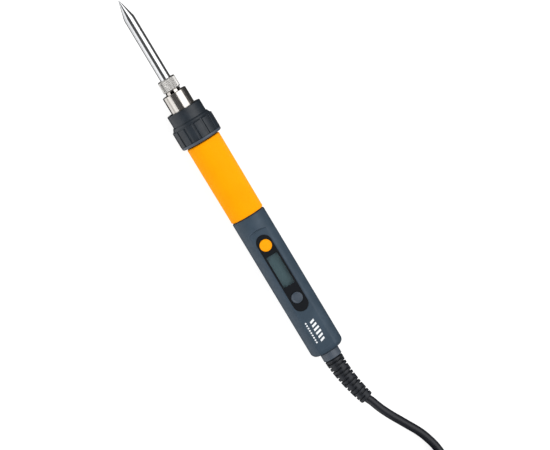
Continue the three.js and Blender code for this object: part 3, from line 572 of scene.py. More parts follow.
def roundedBox(start, end, low, high, corner, steps=5):
    # a rectangle between two stations and two sides, with quarter circles at its corners
    outline = [(start, low), (end, low), (end, high), (start, high)]
    inward = [(1, 1), (-1, 1), (-1, -1), (1, -1)]
    turns = np.linspace(0, math.pi / 2, steps)
    parts = []
    for k, ((s, y), (ahead, across)) in enumerate(zip(outline, inward)):
        middle = np.array((s + ahead * corner, y + across * corner))
        angle = turns + math.pi + k * math.pi / 2
        parts.append(middle + corner * np.stack([np.cos(angle), np.sin(angle)], axis=1))
    return np.concatenate(parts).tolist()


def bulged(value, power):
    # a signed power below 1, which squares off the circle that a sine and a cosine make
    return np.sign(value) * np.abs(value) ** power


def cutAway(piece, cutter):
    # takes one solid out of another and removes the cutter
    cut = piece.modifiers.new("cut", "BOOLEAN")
    cut.operation = "DIFFERENCE"
    cut.solver = "EXACT"
    cut.object = cutter
    bpy.context.view_layer.update()
    made = bpy.data.meshes.new_from_object(piece.evaluated_get(bpy.context.evaluated_depsgraph_get()))
    piece.modifiers.remove(cut)
    old = piece.data
    made.name = old.name
    piece.data = made
    bpy.data.meshes.remove(old)
    bpy.data.objects.remove(cutter)


# the cord runs from the clamp inside the handle, through the strain relief, to the hank and the plug
cord = {
    "diameter": 0.005,
    "length": 1.3,  # what the route below measures
    "reliefBend": 1.9,  # how sharply the strain relief curves: side grows with this power
    "winds": [0.72, 1.60, 2.48, 3.36, 4.24],  # turns at which the cord moves to its next place
    "shift": 0.12,  # share of a turn that each move takes
    "leaves": 5.12,  # turns at which it leaves the hank
    "pointsPerTurn": 40,
    "run": 0.244,  # share of a turn that a straight run takes
    "clear": 0.00002,  # how far the hank's lowest turn is above the bench
    "tieLift": 0.0011,  # how far the hank rises to pass over the tie, and over what distance
    "tieReach": 0.012,
    "spacing": 0.0018,
    "insidePoints": 10,
    # listed in metres: down from the strain relief and along the bench to the hank
    "lead": [
        (-0.1514, -0.0059, 0.0127), (-0.1558, -0.0074, 0.0123), (-0.1603, -0.0092, 0.0113),
        (-0.1656, -0.0117, 0.0096), (-0.1710, -0.0145, 0.0075), (-0.1762, -0.0172, 0.0056),
        (-0.1810, -0.0197, 0.0041), (-0.1854, -0.0216, 0.0031), (-0.1894, -0.0229, 0.00262),
        (-0.1934, -0.0240, 0.00252), (-0.1974, -0.0246, 0.00252), (-0.2022, -0.0250, 0.00252),
        (-0.2072, -0.0250, 0.00252),
    ],
    # over the end of the hank and down to the plug
    "tail": [
        (-0.2450, -0.0200, 0.0131), (-0.2520, -0.0200, 0.0145), (-0.2590, -0.0200, 0.0160),
        (-0.2660, -0.0200, 0.0170), (-0.2720, -0.0199, 0.0174), (-0.2770, -0.0197, 0.0173),
        (-0.2820, -0.0192, 0.0159), (-0.2866, -0.0186, 0.0133), (-0.2906, -0.0170, 0.0113),
        (-0.2950, -0.0148, 0.0096), (-0.2996, -0.0122, 0.0083), (-0.3042, -0.0096, 0.0074),
        (-0.3088, -0.0074, 0.00695), (-0.3134, -0.0058, 0.00685), (-0.3182, -0.0050, 0.00685),
        (-0.3215, -0.0050, 0.00685),
    ],
}
hankLow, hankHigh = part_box("cord_hank")
tieLow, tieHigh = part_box("cord_tie")
glandSpan = span("cord_gland")
reliefSpan = span("strain_relief")
reliefStart = glandSpan[1] + 0.4
innerSpan = span("cord_inner_end")
cordBendSide = 4.7  # how far to one side the cord is at the end of the strain relief


def reliefSide(station):
    # side of the centre line towards -Y: a power of the distance past the gland
    share = np.clip((station - reliefStart) / (reliefSpan[1] - reliefStart), 0, None)
    return -cordBendSide * share ** cord["reliefBend"]


def hankPoint(turn):
    # A turn is a run, half a circle, a run back and half a circle. The radius and the height step from
    # one place in the stack to the next with smooth moves.
    d = cord["diameter"]
    outer = (hankHigh.y - hankLow.y) / 2 - d / 2
    inner = outer - d
    nearX = hankHigh.x - outer - d / 2
    farX = hankLow.x + outer + d / 2
    middleY = (hankHigh.y + hankLow.y) / 2
    places = [(outer, 0.5), (inner, 0.5), (inner, 1.5), (outer, 1.5), (outer, 2.5), (inner, 2.5)]
    radius = np.full(turn.shape, places[0][0])
    layer = np.full(turn.shape, places[0][1])
    for start, before, after in zip(cord["winds"], places, places[1:]):
        moved = smooth((turn - start) / cord["shift"])
        radius += (after[0] - before[0]) * moved
        layer += (after[1] - before[1]) * moved
    run = cord["run"]
    u = turn % 1
    half = (u >= 0.5) * 0.5
    v = u - half
    side = np.where(half > 0, 1, -1)
    along = np.clip(v / run, 0, 1)
    swing = np.clip((v - run) / (0.5 - run), 0, 1) * math.pi
    x = np.where(half > 0, farX + (nearX - farX) * along, nearX + (farX - nearX) * along)
    x = x + side * radius * np.sin(swing)
    y = middleY + side * radius * np.cos(swing)
    tieX = (tieLow.x + tieHigh.x) / 2
    overTie = cord["tieLift"] * np.exp(-((x - tieX) / cord["tieReach"]) ** 2) * (y > middleY)
    return np.stack([x, y, layer * d + cord["clear"] + overTie], axis=-1)


def smoothLine(points, step):
    # a centripetal spline through the points, sampled evenly
    p = np.concatenate([[2 * points[0] - points[1]], points, [2 * points[-1] - points[-2]]])
    knots = np.concatenate([[0], np.cumsum(np.linalg.norm(np.diff(p, axis=0), axis=1) ** 0.5)])
    a, b, c, d = p[:-3], p[1:-2], p[2:-1], p[3:]
    ta, tb, tc, td = (knots[k:len(knots) - 3 + k, None] for k in range(4))
    made = []
    for share in np.linspace(0, 1, 12, endpoint=False):
        t = tb + (tc - tb) * share
        ab = (tb - t) / (tb - ta) * a + (t - ta) / (tb - ta) * b
        bc = (tc - t) / (tc - tb) * b + (t - tb) / (tc - tb) * c
        cd = (td - t) / (td - tc) * c + (t - tc) / (td - tc) * d
        abc = (tc - t) / (tc - ta) * ab + (t - ta) / (tc - ta) * bc
        bcd = (td - t) / (td - tb) * bc + (t - tb) / (td - tb) * cd
        made.append((tc - t) / (tc - tb) * abc + (t - tb) / (tc - tb) * bcd)
    line = np.concatenate([np.stack(made, axis=1).reshape(-1, 3), points[-1:]])
    run = np.concatenate([[0], np.cumsum(np.linalg.norm(np.diff(line, axis=0), axis=1))])
    at = np.linspace(0, run[-1], math.ceil(run[-1] / step) + 1)
    return np.stack([np.interp(at, run, line[:, k]) for k in range(3)], axis=1)


def cordLine():
    # the four stretches of the route joined into one evenly sampled line
    inside = np.linspace(innerSpan[0], reliefSpan[1], cord["insidePoints"])
    first = place(inside, reliefSide(inside), 0.0)
    turns = np.arange(0, cord["leaves"], 1 / cord["pointsPerTurn"])
    route = [first, np.array(cord["lead"]), hankPoint(turns), np.array(cord["tail"])]
    return smoothLine(np.concatenate(route), cord["spacing"])


def makeCord():
    # a round jacket carried along the line
    line = cordLine()
    curve = bpy.data.curves.new("mains_cord", "CURVE")
    curve.dimensions = "3D"
    curve.bevel_depth = cord["diameter"] / 2
    curve.bevel_resolution = 5
    curve.use_fill_caps = True
    spline = curve.splines.new("POLY")
    spline.points.add(len(line) - 1)
    spline.points.foreach_set("co", np.column_stack([line, np.ones(len(line))]).ravel())
    piece = bpy.data.objects.new("mains_cord", curve)
    bpy.context.scene.collection.objects.link(piece)
    return finishPiece(piece, "cord", "handle", "cord_pvc", "cord_inner_end", "cord_lead", "cord_hank",
                       "cord_tail")


mainsCord = makeCord()
print("cord laid")

# strain relief: rings joined by short bridges that take turns round it
relief = {"rings": 12, "frontRadius": 5.5, "rearRadius": 4.15, "groove": 1.15, "ringShare": 0.56,
          "bore": 2.62, "bridge": 0.42, "stemRadius": 3.55, "rearRim": 1.6, "rowsPerRing": 18,
          "frontRound": 0.5, "rearRound": 0.7, "soft": 0.1, "twist": 0.66}


def makeRelief():
    # The radius tapers along the boot and dips between rings, except where a bridge crosses. Each
    # section is turned square to the curve that the cord takes.
    start, end = reliefStart, reliefSpan[1]
    length = end - start
    pitch = (length - relief["rearRim"]) / relief["rings"]
    outer = np.linspace(start, end, relief["rings"] * relief["rowsPerRing"])
    share = (outer - start) / length
    crest = relief["frontRadius"] + (relief["rearRadius"] - relief["frontRadius"]) * share
    # rounded shoulders at both ends
    for corner, away in ((relief["frontRound"], outer - start), (relief["rearRound"], end - outer)):
        crest = crest - corner * (1 - np.sqrt(1 - np.clip(1 - away / corner, 0, 1) ** 2))
    angle = np.linspace(0, 2 * math.pi, 72, endpoint=False)[None, :]
    phase = ((outer - start) / pitch)[:, None]
    ring = np.floor(phase)
    within = phase - ring
    width, soft = relief["ringShare"], relief["soft"]
    dip = smooth((within - width) / soft) * smooth((1.0 - within) / soft) * (phase < relief["rings"] - 0.2)
    # two bridges across each groove, about a sixth of a turn further round than at the one before
    turn = (angle * 2 + ring * math.pi * relief["twist"]) % (2 * math.pi) - math.pi
    bridge = smooth((relief["bridge"] * 2 - np.abs(turn)) / 0.3)
    radius = crest[:, None] - relief["groove"] * dip * (1 - bridge)
    stemFront, bore = reliefSpan[0], relief["bore"]
    front = np.array([stemFront, stemFront, start])
    frontRadius = np.array([bore, relief["stemRadius"], relief["stemRadius"]])[:, None] + 0 * angle
    back = np.linspace(end, stemFront, 24)
    stations = np.concatenate([front, outer, back])[:, None]
    radii = np.concatenate([frontRadius, radius, bore + 0 * angle + 0 * back[:, None]])
    side = reliefSide(stations)
    lean = np.arctan2(reliefSide(stations + 0.05) - reliefSide(stations - 0.05), 0.1)
    across = radii * np.sin(angle)
    points = place(stations - across * np.sin(lean), side + across * np.cos(lean), radii * np.cos(angle))
    faces = gridFaces(len(stations), angle.size, True, True)
    piece = solidFrom("strain_relief_boot", points.reshape(-1, 3), faces, 45)
    return finishPiece(piece, "relief", "handle", "relief_rubber", "strain_relief")


tie = {"thick": 0.0008, "squareness": 2 / 7, "nap": 0.00006, "edge": 0.00012}


def makeTie():
    # A hook-and-loop band round one run of the hank: a flat strap carried round a superellipse, which
    # has round corners and nearly flat sides. Two sines round it give the nap.
    low, high = tieLow, tieHigh
    thick, edge = tie["thick"], tie["edge"]
    halfY, halfZ = (high.y - low.y) / 2 - thick / 2, (high.z - low.z) / 2 - thick / 2
    middle = np.array([(low.y + high.y) / 2, (low.z + high.z) / 2])
    turn = np.linspace(0, 2 * math.pi, 96, endpoint=False)
    square = tie["squareness"]
    ring = np.stack([halfY * bulged(np.cos(turn), square), halfZ * bulged(np.sin(turn), square)], axis=1)
    nap = tie["nap"] * np.sin(turn * 31) * np.sin(turn * 17)
    normal = ring / np.linalg.norm(ring / [halfY, halfZ], axis=1)[:, None] / [halfY, halfZ]
    normal /= np.linalg.norm(normal, axis=1)[:, None]
    half = (high.x - low.x) / 2
    section = [(-half, -thick / 2), (half, -thick / 2), (half + edge, 0), (half, thick / 2),
               (-half, thick / 2), (-half - edge, 0)]
    rows = []
    for x, out in section:
        yz = middle + ring + normal * (out + nap[:, None] * (out > 0))
        rows.append(np.column_stack([np.full(len(turn), (low.x + high.x) / 2 + x), yz]))
    points = np.stack(rows)
    piece = solidFrom("cord_tie_band", points.reshape(-1, 3), gridFaces(len(section), len(turn), True, True))
    return finishPiece(piece, "tie", "handle", "tie_wire", "cord_tie")


plug = {"faceRound": 0.8, "neckShare": 0.78, "neckSwell": 1.12, "neckRound": 0.0012,
        "shoulder": 0.66, "thickens": 0.5, "widePower": 0.42, "thickPower": 0.34,
        # grooves along the whole length, of which the grip keeps those between two shares of it
        "waves": 10, "gripStart": 0.3, "gripEnd": 0.78, "grooveDepth": 0.45,
        "sleeve": 10.0, "reliefEnd": 0.0035, "reliefGroove": 0.0007, "reliefWaves": 5.5,
        "pinRound": 1.3}


def makePlug():
    # A flat two-pin plug: rounded rectangles from the cord end to the pin face. The width follows a
    # smooth shoulder, and shallow finger grooves run across its flat sides.
    low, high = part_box("plug_body")
    middle = (low + high) / 2
    halfWide, halfThick = (high.y - low.y) / 2, (high.z - low.z) / 2
    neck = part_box("plug_relief")
    neckRadius = (neck[1].z - neck[0].z) / 2
    x = np.concatenate([[high.x], np.linspace(high.x - 0.0002, low.x, 70), [low.x]])[:, None]
    share = (high.x - x) / (high.x - low.x)
    spread = smooth(share / plug["shoulder"])
    neckHalf = neckRadius * plug["neckSwell"]
    wide = neckHalf + (halfWide - neckHalf) * spread
    thick = halfThick * (plug["neckShare"] + (1 - plug["neckShare"]) * smooth(share / plug["thickens"]))
    edge = np.clip(1 - (x - low.x) / (plug["faceRound"] * mm), 0, 1)
    soft = plug["faceRound"] * mm * (1 - np.sqrt(1 - edge ** 2))
    end = np.clip(1 - (high.x - x) / plug["neckRound"], 0, 1)
    soft = soft + plug["neckRound"] * (1 - np.sqrt(1 - end ** 2))
    turn = np.linspace(0, 2 * math.pi, 120, endpoint=False)[None, :]
    y = (wide - soft) * bulged(np.cos(turn), plug["widePower"])
    z = (thick - soft) * bulged(np.sin(turn), plug["thickPower"])
    grip = smooth((share - plug["gripStart"]) / 0.05) * smooth((plug["gripEnd"] - share) / 0.05)
    flatSides = smooth((np.abs(np.sin(turn)) - 0.3) / 0.3)
    ripple = np.clip(np.sin(share * 2 * math.pi * plug["waves"]), 0, 1) * grip * flatSides
    z = z - np.sign(z) * plug["grooveDepth"] * mm * ripple * smooth((0.8 - np.abs(y) / halfWide) / 0.1)
    keep = np.ones(len(x))[:, None]
    keep[[0, -1]] = 0
    points = np.stack(np.broadcast_arrays(x, middle.y + y * keep, middle.z + z * keep), axis=-1)
    piece = solidFrom("plug_moulding", points.reshape(-1, 3), gridFaces(len(x), turn.size, False, True), 50)
    return finishPiece(piece, "plug", "handle", "plug_pvc", "plug_body")


def turnedAt(name, profile, y, z, sides=48):
    # a profile of X and radius in metres carried round a line along X
    angle = np.linspace(0, 2 * math.pi, sides, endpoint=False)
    x, r = profile[:, :1], profile[:, 1:]
    points = np.stack(np.broadcast_arrays(x, y + r * np.sin(angle), z + r * np.cos(angle)), axis=-1)
    return solidFrom(name, points.reshape(-1, 3), gridFaces(len(profile), sides, False, True))


def makePlugParts():
    # The plug's own strain relief is a cone with grooves round it. Each pin is a round-nosed rod with
    # an insulating tube over the half nearer the plug.
    low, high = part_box("plug_relief")
    y, z = (low.y + high.y) / 2, (low.z + high.z) / 2
    x = np.linspace(low.x, high.x, 90)
    share = (x - low.x) / (high.x - low.x)
    big = (high.z - low.z) / 2
    radius = big + (plug["reliefEnd"] - big) * share
    groove = smooth(np.sin(share * 2 * math.pi * plug["reliefWaves"] - 1.2) * 2 + 0.2)
    groove = groove * smooth(share / 0.05) * smooth((0.95 - share) / 0.05)
    radius = radius - plug["reliefGroove"] * groove
    profile = np.column_stack([x, radius])
    profile = np.concatenate([[[low.x, 0]], profile, [[high.x, 0]]])
    sleeve = turnedAt("plug_strain_sleeve", profile, y, z)
    pieces = [finishPiece(sleeve, "plug", "handle", "plug_pvc", "plug_relief")]
    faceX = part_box("plug_body")[0].x
    for side in ("left", "right"):
        low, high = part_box(f"plug_pin_{side}")
        y, z, r = (low.y + high.y) / 2, (low.z + high.z) / 2, (high.z - low.z) / 2
        nose = rounded([(low.x / mm, 0, 0), (low.x / mm, r / mm, plug["pinRound"]), (high.x / mm, r / mm, 0),
                        (high.x / mm, 0, 0)], closed=False, steps=8) * mm
        pin = turnedAt(f"plug_pin_{side}_metal", nose, y, z)
        pieces.append(finishPiece(pin, "pin", "handle", "pin_brass", f"plug_pin_{side}"))
        tubeStart, tubeEnd = faceX / mm - plug["sleeve"], faceX / mm + 0.2
        outside = r / mm + 0.04
        shape = rounded([(tubeStart, r / mm - 0.2, 0), (tubeStart, outside, 0.15), (tubeEnd, outside, 0),
                         (tubeEnd, r / mm - 0.2, 0)], closed=False, steps=3) * mm
        cover = turnedAt(f"plug_pin_{side}_sleeve", np.concatenate([shape, shape[:1]]), y, z)
        pieces.append(finishPiece(cover, "plug", "handle", "plug_pvc"))
    return pieces


reliefBoot = makeRelief()
cordTie = makeTie()
plugPieces = [makePlug(), *makePlugParts()]
tuple(place(glandSpan[1], 0.0, 0.0).tolist())
print("strain relief, tie and plug made")


# soldering tip, its nut, the neck behind it and the barrel
tip = {"point": 0.28, "coneEnd": 11.4, "shaft": 3.2, "shoulder": 0.15, "flangeStart": 54.3,
       "flangeRadius": 4.0, "bore": 2.2, "boreStart": 24, "boreCone": 1.2}
nutShape = {"lip": 2.3, "lipRadius": 3.5, "bore": 4.4, "teeth": 48, "toothDepth": 0.24, "chamfer": 0.45}
bush = {"neckStart": 59.3, "neckRadius": 4.6, "notches": 6, "notchWide": 2.1, "notchLong": 1.7,
        "notchDeep": 1.5, "notchTurn": 0.18, "flangeStart": 62.5, "bore": 2.5, "spigot": 4.1,
        # how far from the neck's edge and below its surface the painted shade starts
        "shadeGap": 0.1, "shadeDepth": 0.25}
barrel = {"radius": 7.4, "wall": 0.8, "hole": 4.9, "rim": 0.55, "flange": 1.3, "front": 1.5}


def makeTip():
    # a turned profile: a cone, a straight shaft, a flange at the back and a blind bore
    start, end, _ = span("soldering_tip")
    radius = tip["shaft"]
    profile = rounded([
        (start, 0, 0), (start + 0.25, tip["point"], 0.15), (tip["coneEnd"], radius, tip["shoulder"]),
        (tip["flangeStart"], radius, 0.1), (tip["flangeStart"], tip["flangeRadius"], 0.1),
        (end, tip["flangeRadius"], 0.1), (end, tip["bore"], 0), (tip["boreStart"], tip["bore"], 0),
        (tip["boreStart"] - tip["boreCone"], 0, 0)], closed=False)
    piece = turned("soldering_tip_plated", spaced(profile, 2.5, False), 128, False)
    return finishPiece(piece, "tip", "tip", "tip_steel", "soldering_tip")


def makeNut():
    # straight knurling: a triangle wave round the nut that fades out at its chamfered ends
    start, end, radius = span("tip_nut")
    shape, cut = nutShape, nutShape["chamfer"]

    def teeth(s, r, angle):
        phase = (angle * shape["teeth"] / (2 * math.pi)) % 1
        wave = smooth(np.abs(phase - 0.5) * 2.6 - 0.15)
        inside = smooth((s - start - cut) / 0.25) * smooth((end - cut - s) / 0.25)
        return -shape["toothDepth"] * wave * inside * (r > radius - 0.05)

    profile = rounded([
        (start, shape["lipRadius"], 0.1), (start, radius - cut, 0.1), (start + cut, radius, 0.1),
        (end - cut, radius, 0.1), (end, radius - cut, 0.1), (end, shape["bore"], 0),
        (start + shape["lip"], shape["bore"], 0), (start + shape["lip"], shape["lipRadius"], 0)])
    piece = turned("tip_nut_knurled", spaced(profile, 0.3), shape["teeth"] * 8, True, teeth)
    return finishPiece(piece, "nut", "nut", "nickel", "tip_nut")


def makeBush():
    # The neck behind the nut, with square notches round its front edge: each is a smooth step in angle times
    # one in station. The faces inside them get a dark steel as painted shade.
    start, end, radius = span("nose_bush")
    shape = bush

    def notches(s, r, angle):
        pitch = 2 * math.pi / shape["notches"]
        away = np.abs((angle - shape["notchTurn"] + pitch / 2) % pitch - pitch / 2) * shape["neckRadius"]
        across = smooth((shape["notchWide"] / 2 - away) / 0.12 + 0.5)
        along = smooth((shape["neckStart"] + shape["notchLong"] - s) / 0.15 + 0.5)
        onNeck = (s > shape["neckStart"] - 0.01) * (s < shape["flangeStart"] - 0.3)
        onNeck = onNeck * (r > shape["spigot"] + 0.1)
        return -shape["notchDeep"] * across * along * onNeck

    profile = rounded([
        (start, shape["bore"], 0), (start, shape["spigot"], 0.3), (shape["neckStart"], shape["spigot"], 0),
        (shape["neckStart"], shape["neckRadius"], 0.15), (shape["flangeStart"], shape["neckRadius"], 0),
        (shape["flangeStart"], radius, 0.2), (end, radius, 0.2), (end, shape["bore"], 0)])
    piece = turned("nose_bush_notched", spaced(profile, 0.16), 240, True, notches)
    finishPiece(piece, "barrel", "barrel", "barrel_steel", "nose_bush")
    piece.data.materials.append(finishes["notchShade"])
    middles = np.array([face.center for face in piece.data.polygons])
    station = (noseX - middles[:, 0]) / mm
    away = np.hypot(middles[:, 1], middles[:, 2] - axisZ) / mm
    # painted shade: the faces inside the notches get the dark steel
    paintedShade = (station > shape["neckStart"] + shape["shadeGap"]) & (station < shape["flangeStart"])
    paintedShade &= away < shape["neckRadius"] - shape["shadeDepth"]
    paintedShade &= away > shape["neckRadius"] - shape["notchDeep"] - shape["shadeDepth"]
    piece.data.polygons.foreach_set("material_index", paintedShade.astype(int))
    return piece


def makeBarrel():
    # a drawn tube with a rolled front rim, a round hole for the neck and a flange the collar holds
    start, end, flange = span("barrel_tube")
    shape = barrel
    inner = shape["radius"] - shape["wall"]
    profile = rounded([
        (start, shape["hole"], 0.15), (start, shape["radius"], shape["rim"]),
        (end - shape["flange"], shape["radius"], 0.2), (end - shape["flange"], flange, 0.25),
        (end, flange, 0.25), (end, inner, 0.2), (start + shape["front"], inner, 0.3),
        (start + shape["front"], shape["hole"], 0.15)])
    piece = turned("barrel_tube_drawn", spaced(profile, 3.0), 160)
    return finishPiece(piece, "barrel", "barrel", "barrel_steel", "barrel_tube")


# a ring nut with fourteen grip pads
collar = {"front": 10.6, "step": 78.4, "wide": 80.4, "base": 12.05, "pads": 14, "padWidth": 4.45,
          "padStart": 80.5, "padEnd": collarLip, "edge": 0.32, "lip": 12.65, "bore": 7.8, "seat": 84.3,
          "seatRadius": 9.8, "lipRound": 0.95, "flareHollow": 0.35}


def makeCollar():
    # A turned profile whose pads stand proud of its base: each pad is a smooth step in angle times one
    # in station.
    start, end, radius = span("collar_nut")
    shape = collar

    def pads(s, r, angle):
        pitch = 2 * math.pi / shape["pads"]
        away = np.abs((angle % pitch) - pitch / 2) * radius
        across = smooth((shape["padWidth"] / 2 - away) / shape["edge"] + 0.5)
        along = smooth((s - shape["padStart"]) / 0.5 + 0.3) * smooth((shape["padEnd"] - s) / 0.2 + 0.5)
        onBase = (r > shape["base"] - 0.25) * (r < shape["base"] + 0.02)
        return (radius - shape["base"]) * across * along * onBase

    # the flare between the front ring and the wide part is hollow, a quarter of an ellipse
    swing = np.linspace(0, math.pi / 2, 9)[1:-1]
    flare = [(shape["wide"] - (shape["wide"] - shape["step"]) * math.cos(a),
              shape["base"] - (shape["base"] - shape["front"]) * math.cos(a)
              * (1 - shape["flareHollow"] * math.sin(2 * a)), 0) for a in swing]
    profile = rounded([
        (start, shape["bore"], 0.2), (start, shape["front"], 0.45), (shape["step"], shape["front"], 0.4),
        *flare, (shape["wide"], shape["base"], 0), (shape["padEnd"], shape["base"], 0),
        (shape["padEnd"] + 0.12, shape["lip"], 0.12), (end, shape["lip"], shape["lipRound"]),
        (end, shape["seatRadius"], 0.15), (shape["seat"], shape["seatRadius"], 0.1),
        (shape["seat"], shape["bore"], 0.2)])
    piece = turned("collar_nut_ribbed", spaced(profile, 0.36), shape["pads"] * 32, True, pads)
    return finishPiece(piece, "collar", "collar", "collar_plastic", "collar_nut")


# the heater, and the threaded insert that the collar screws on
insert = {"bore": 2.5, "thread": 9.4, "boss": 6.3, "shoulder": 92.5, "rib": 7.0, "ribStart": 100.3,
          "ribEnd": 102.9, "pitch": 1.5, "threadDepth": 0.55, "wide": 4.6, "floor": 95.5}
heater = {"noseRound": 0.6, "band": 0.06, "bandTurn": 1.1, "bandsStart": 4, "ringGap": 0.25}


def makeInsert():
    # a stepped tube with a thread round its front and a rib that the shells hold
    start, end, _ = span("front_insert")
    shape = insert

    def thread(s, r, angle):
        # a helix: the phase moves on by one pitch in each turn
        phase = ((s - start) / shape["pitch"] - angle / (2 * math.pi)) % 1
        ridge = smooth(np.abs(phase - 0.5) * 3.2 - 0.3)
        inside = smooth((s - start - 0.3) / 0.8) * smooth((shape["shoulder"] - 0.4 - s) / 0.3)
        return -shape["threadDepth"] * ridge * inside * (r > shape["thread"] - 0.05)

    profile = rounded([
        (start, shape["bore"], 0.2), (start, shape["thread"], 0.4), (shape["shoulder"], shape["thread"], 0.2),
        (shape["shoulder"], shape["boss"], 0), (shape["ribStart"], shape["boss"], 0),
        (shape["ribStart"], shape["rib"], 0.1), (shape["ribEnd"], shape["rib"], 0.1),
        (shape["ribEnd"], shape["boss"], 0), (end, shape["boss"], 0.2), (end, shape["wide"], 0),
        (shape["floor"], shape["wide"], 0), (shape["floor"], shape["bore"], 0)])
    piece = turned("front_insert_threaded", spaced(profile, 0.18), 128, True, thread)
    return finishPiece(piece, "insert", "handle", "insert_plastic", "front_insert")


def makeHeater():
    # a ceramic rod with a rounded nose and faint printed bands, and its flange
    start, end, radius = span("heater_core")

    def bands(s, r, angle):
        raised = heater["band"] * smooth(np.sin(s * heater["bandTurn"]) * 3 - 1.5) * (r > radius - 0.1)
        return raised * smooth(s - start - heater["bandsStart"]) - heater["band"]

    profile = rounded([(start, 0, 0), (start, radius, heater["noseRound"]), (end, radius, 0.1), (end, 0, 0)],
                      closed=False)
    rod = turned("heater_rod", spaced(profile, 0.8, False), 64, False, bands)
    pieces = [finishPiece(rod, "ceramic", "handle", "ceramic", "heater_core")]
    start, end, outer = span("heater_flange")
    inner = radius + heater["ringGap"]
    profile = rounded([(start, inner, 0.1), (start, outer, 0.3), (end, outer, 0.3), (end, inner, 0.1)])
    ring = turned("heater_ring", profile, 64)
    pieces.append(finishPiece(ring, "ceramic", "handle", "ceramic", "heater_flange"))
    return pieces


sleeve = {"bore": 8.6, "frontRound": 0.9, "rearRound": 0.85, "rear": 10.3, "waist": 118, "slimmer": 0.1,
          "lip": 0.14, "lipBack": 1.15, "lipWide": 0.35, "inset": 0.05, "squeeze": 0.06}


def makeSleeve():
    # a moulded silicone tube, slightly slimmer behind, with a fine raised bead at the rear edge
    start, end, radius = span("grip_sleeve")
    shape = sleeve

    def bead(s, r, angle):
        outside = r > shape["rear"] - 1.0
        raised = shape["lip"] * np.exp(-((s - end + shape["lipBack"]) / shape["lipWide"]) ** 2)
        pressed = shape["squeeze"] * smooth((s - start) / 1.2) * smooth((end - s) / 1.2)
        return outside * (raised - shape["inset"] - pressed)

    profile = rounded([
        (start, shape["bore"], 0.2), (start, radius, shape["frontRound"]),
        (shape["waist"], radius - shape["slimmer"], 0), (end, shape["rear"], shape["rearRound"]),
        (end, shape["bore"], 0.2)])
    piece = turned("grip_sleeve_silicone", spaced(profile, 0.5), 128, True, bead)
    return finishPiece(piece, "sleeve", "handle", "sleeve_rubber", "grip_sleeve")


makeTip()
makeNut()
makeBush()
makeBarrel()
makeCollar()
makeInsert()
makeHeater()
makeSleeve()
print("tip, barrel, collar and sleeve made")


# two shells that meet at a seam along the middle of each side
handle = {
    "frontHalf": 10.25, "rearHalf": 10.1, "belly": 13.6, "bellyStart": 146, "bellyFull": 186,
    "tailRound": 3.5, "wall": 1.8, "neckRadius": 8.3, "neckBore": 6.6, "tailHole": 5.25,
    "panelStart": 151.2, "panelRamp": 0.9, "panelHeight": 8.55, "panelBow": 0.03, "soft": 0.22,
    "gap": 0.15, "seamDepth": 0.22, "seamWide": 0.35, "frontRound": 0.7,
    "sideSteps": 150, "step": 0.55, "crowding": 1.25,
}
neckStart = span("handle_top_shell")[0]
tailStation = span("handle_top_shell")[1]
sleeveEnd = span("grip_sleeve")[1]
bodyStart = sleeveEnd + 0.4


def halfWidth(station):
    # half the body's width, which narrows evenly towards the tail
    share = (station - bodyStart) / (tailStation - bodyStart)
    return handle["frontHalf"] + (handle["rearHalf"] - handle["frontHalf"]) * share


def depthBelow(station):
    # how far the body reaches below the centre line: half its width, then a belly that grows smoothly
    half = halfWidth(station)
    grown = smooth((station - handle["bellyStart"]) / (handle["bellyFull"] - handle["bellyStart"]))
    return half + (handle["belly"] - half) * grown


def tailInset(station):
    # the body's rear edge is a quarter circle
    into = np.clip(station - (tailStation - handle["tailRound"]), 0, handle["tailRound"])
    return handle["tailRound"] - np.sqrt(handle["tailRound"] ** 2 - into ** 2)


def shellRows():
    # The closed path that both shells follow: out along the neck and the body, in at the tail, and
    # back along the inside. Each row is a station, a round radius or 0, and an inset from the body.
    shape = handle
    tailTurn = np.linspace(0, math.pi / 2, 22)
    roundTail = tailStation - shape["tailRound"] * (1 - np.sin(tailTurn))
    frontTurn = np.linspace(0, math.pi / 2, 6)[1:]
    frontRound = bodyStart + shape["frontRound"] * (1 - np.cos(frontTurn))
    frontInset = shape["frontRound"] * (1 - np.sin(frontTurn))
    panel = np.arange(shape["panelStart"] - 0.8, shape["panelStart"] + 3.2, 0.1)
    body = np.concatenate([np.arange(bodyStart + 1.2, panel[0], 0.4), panel,
                           np.arange(panel[-1] + 0.3, roundTail[0], shape["step"])])
    inside = np.linspace(tailStation - shape["wall"], bodyStart + shape["wall"], 70)
    rows = [(neckStart, shape["neckBore"], 0), (neckStart, shape["neckRadius"] - 0.3, 0),
            (neckStart + 0.3, shape["neckRadius"], 0), (bodyStart - 0.1, shape["neckRadius"], 0),
            (bodyStart, shape["neckRadius"], 0)]
    rows += [(s, 0, i) for s, i in zip(frontRound, frontInset)]
    rows += [(s, 0, 0) for s in body]
    rows += [(s, 0, 0) for s in roundTail]
    rows += [(tailStation, shape["tailHole"] + 0.3, 0), (tailStation - 0.3, shape["tailHole"], 0),
             (tailStation - shape["wall"], shape["tailHole"], 0)]
    rows += [(s, 0, shape["wall"]) for s in inside]
    rows += [(bodyStart + shape["wall"], shape["neckBore"], 0), (neckStart + 0.3, shape["neckBore"], 0)]
    return np.array(rows)


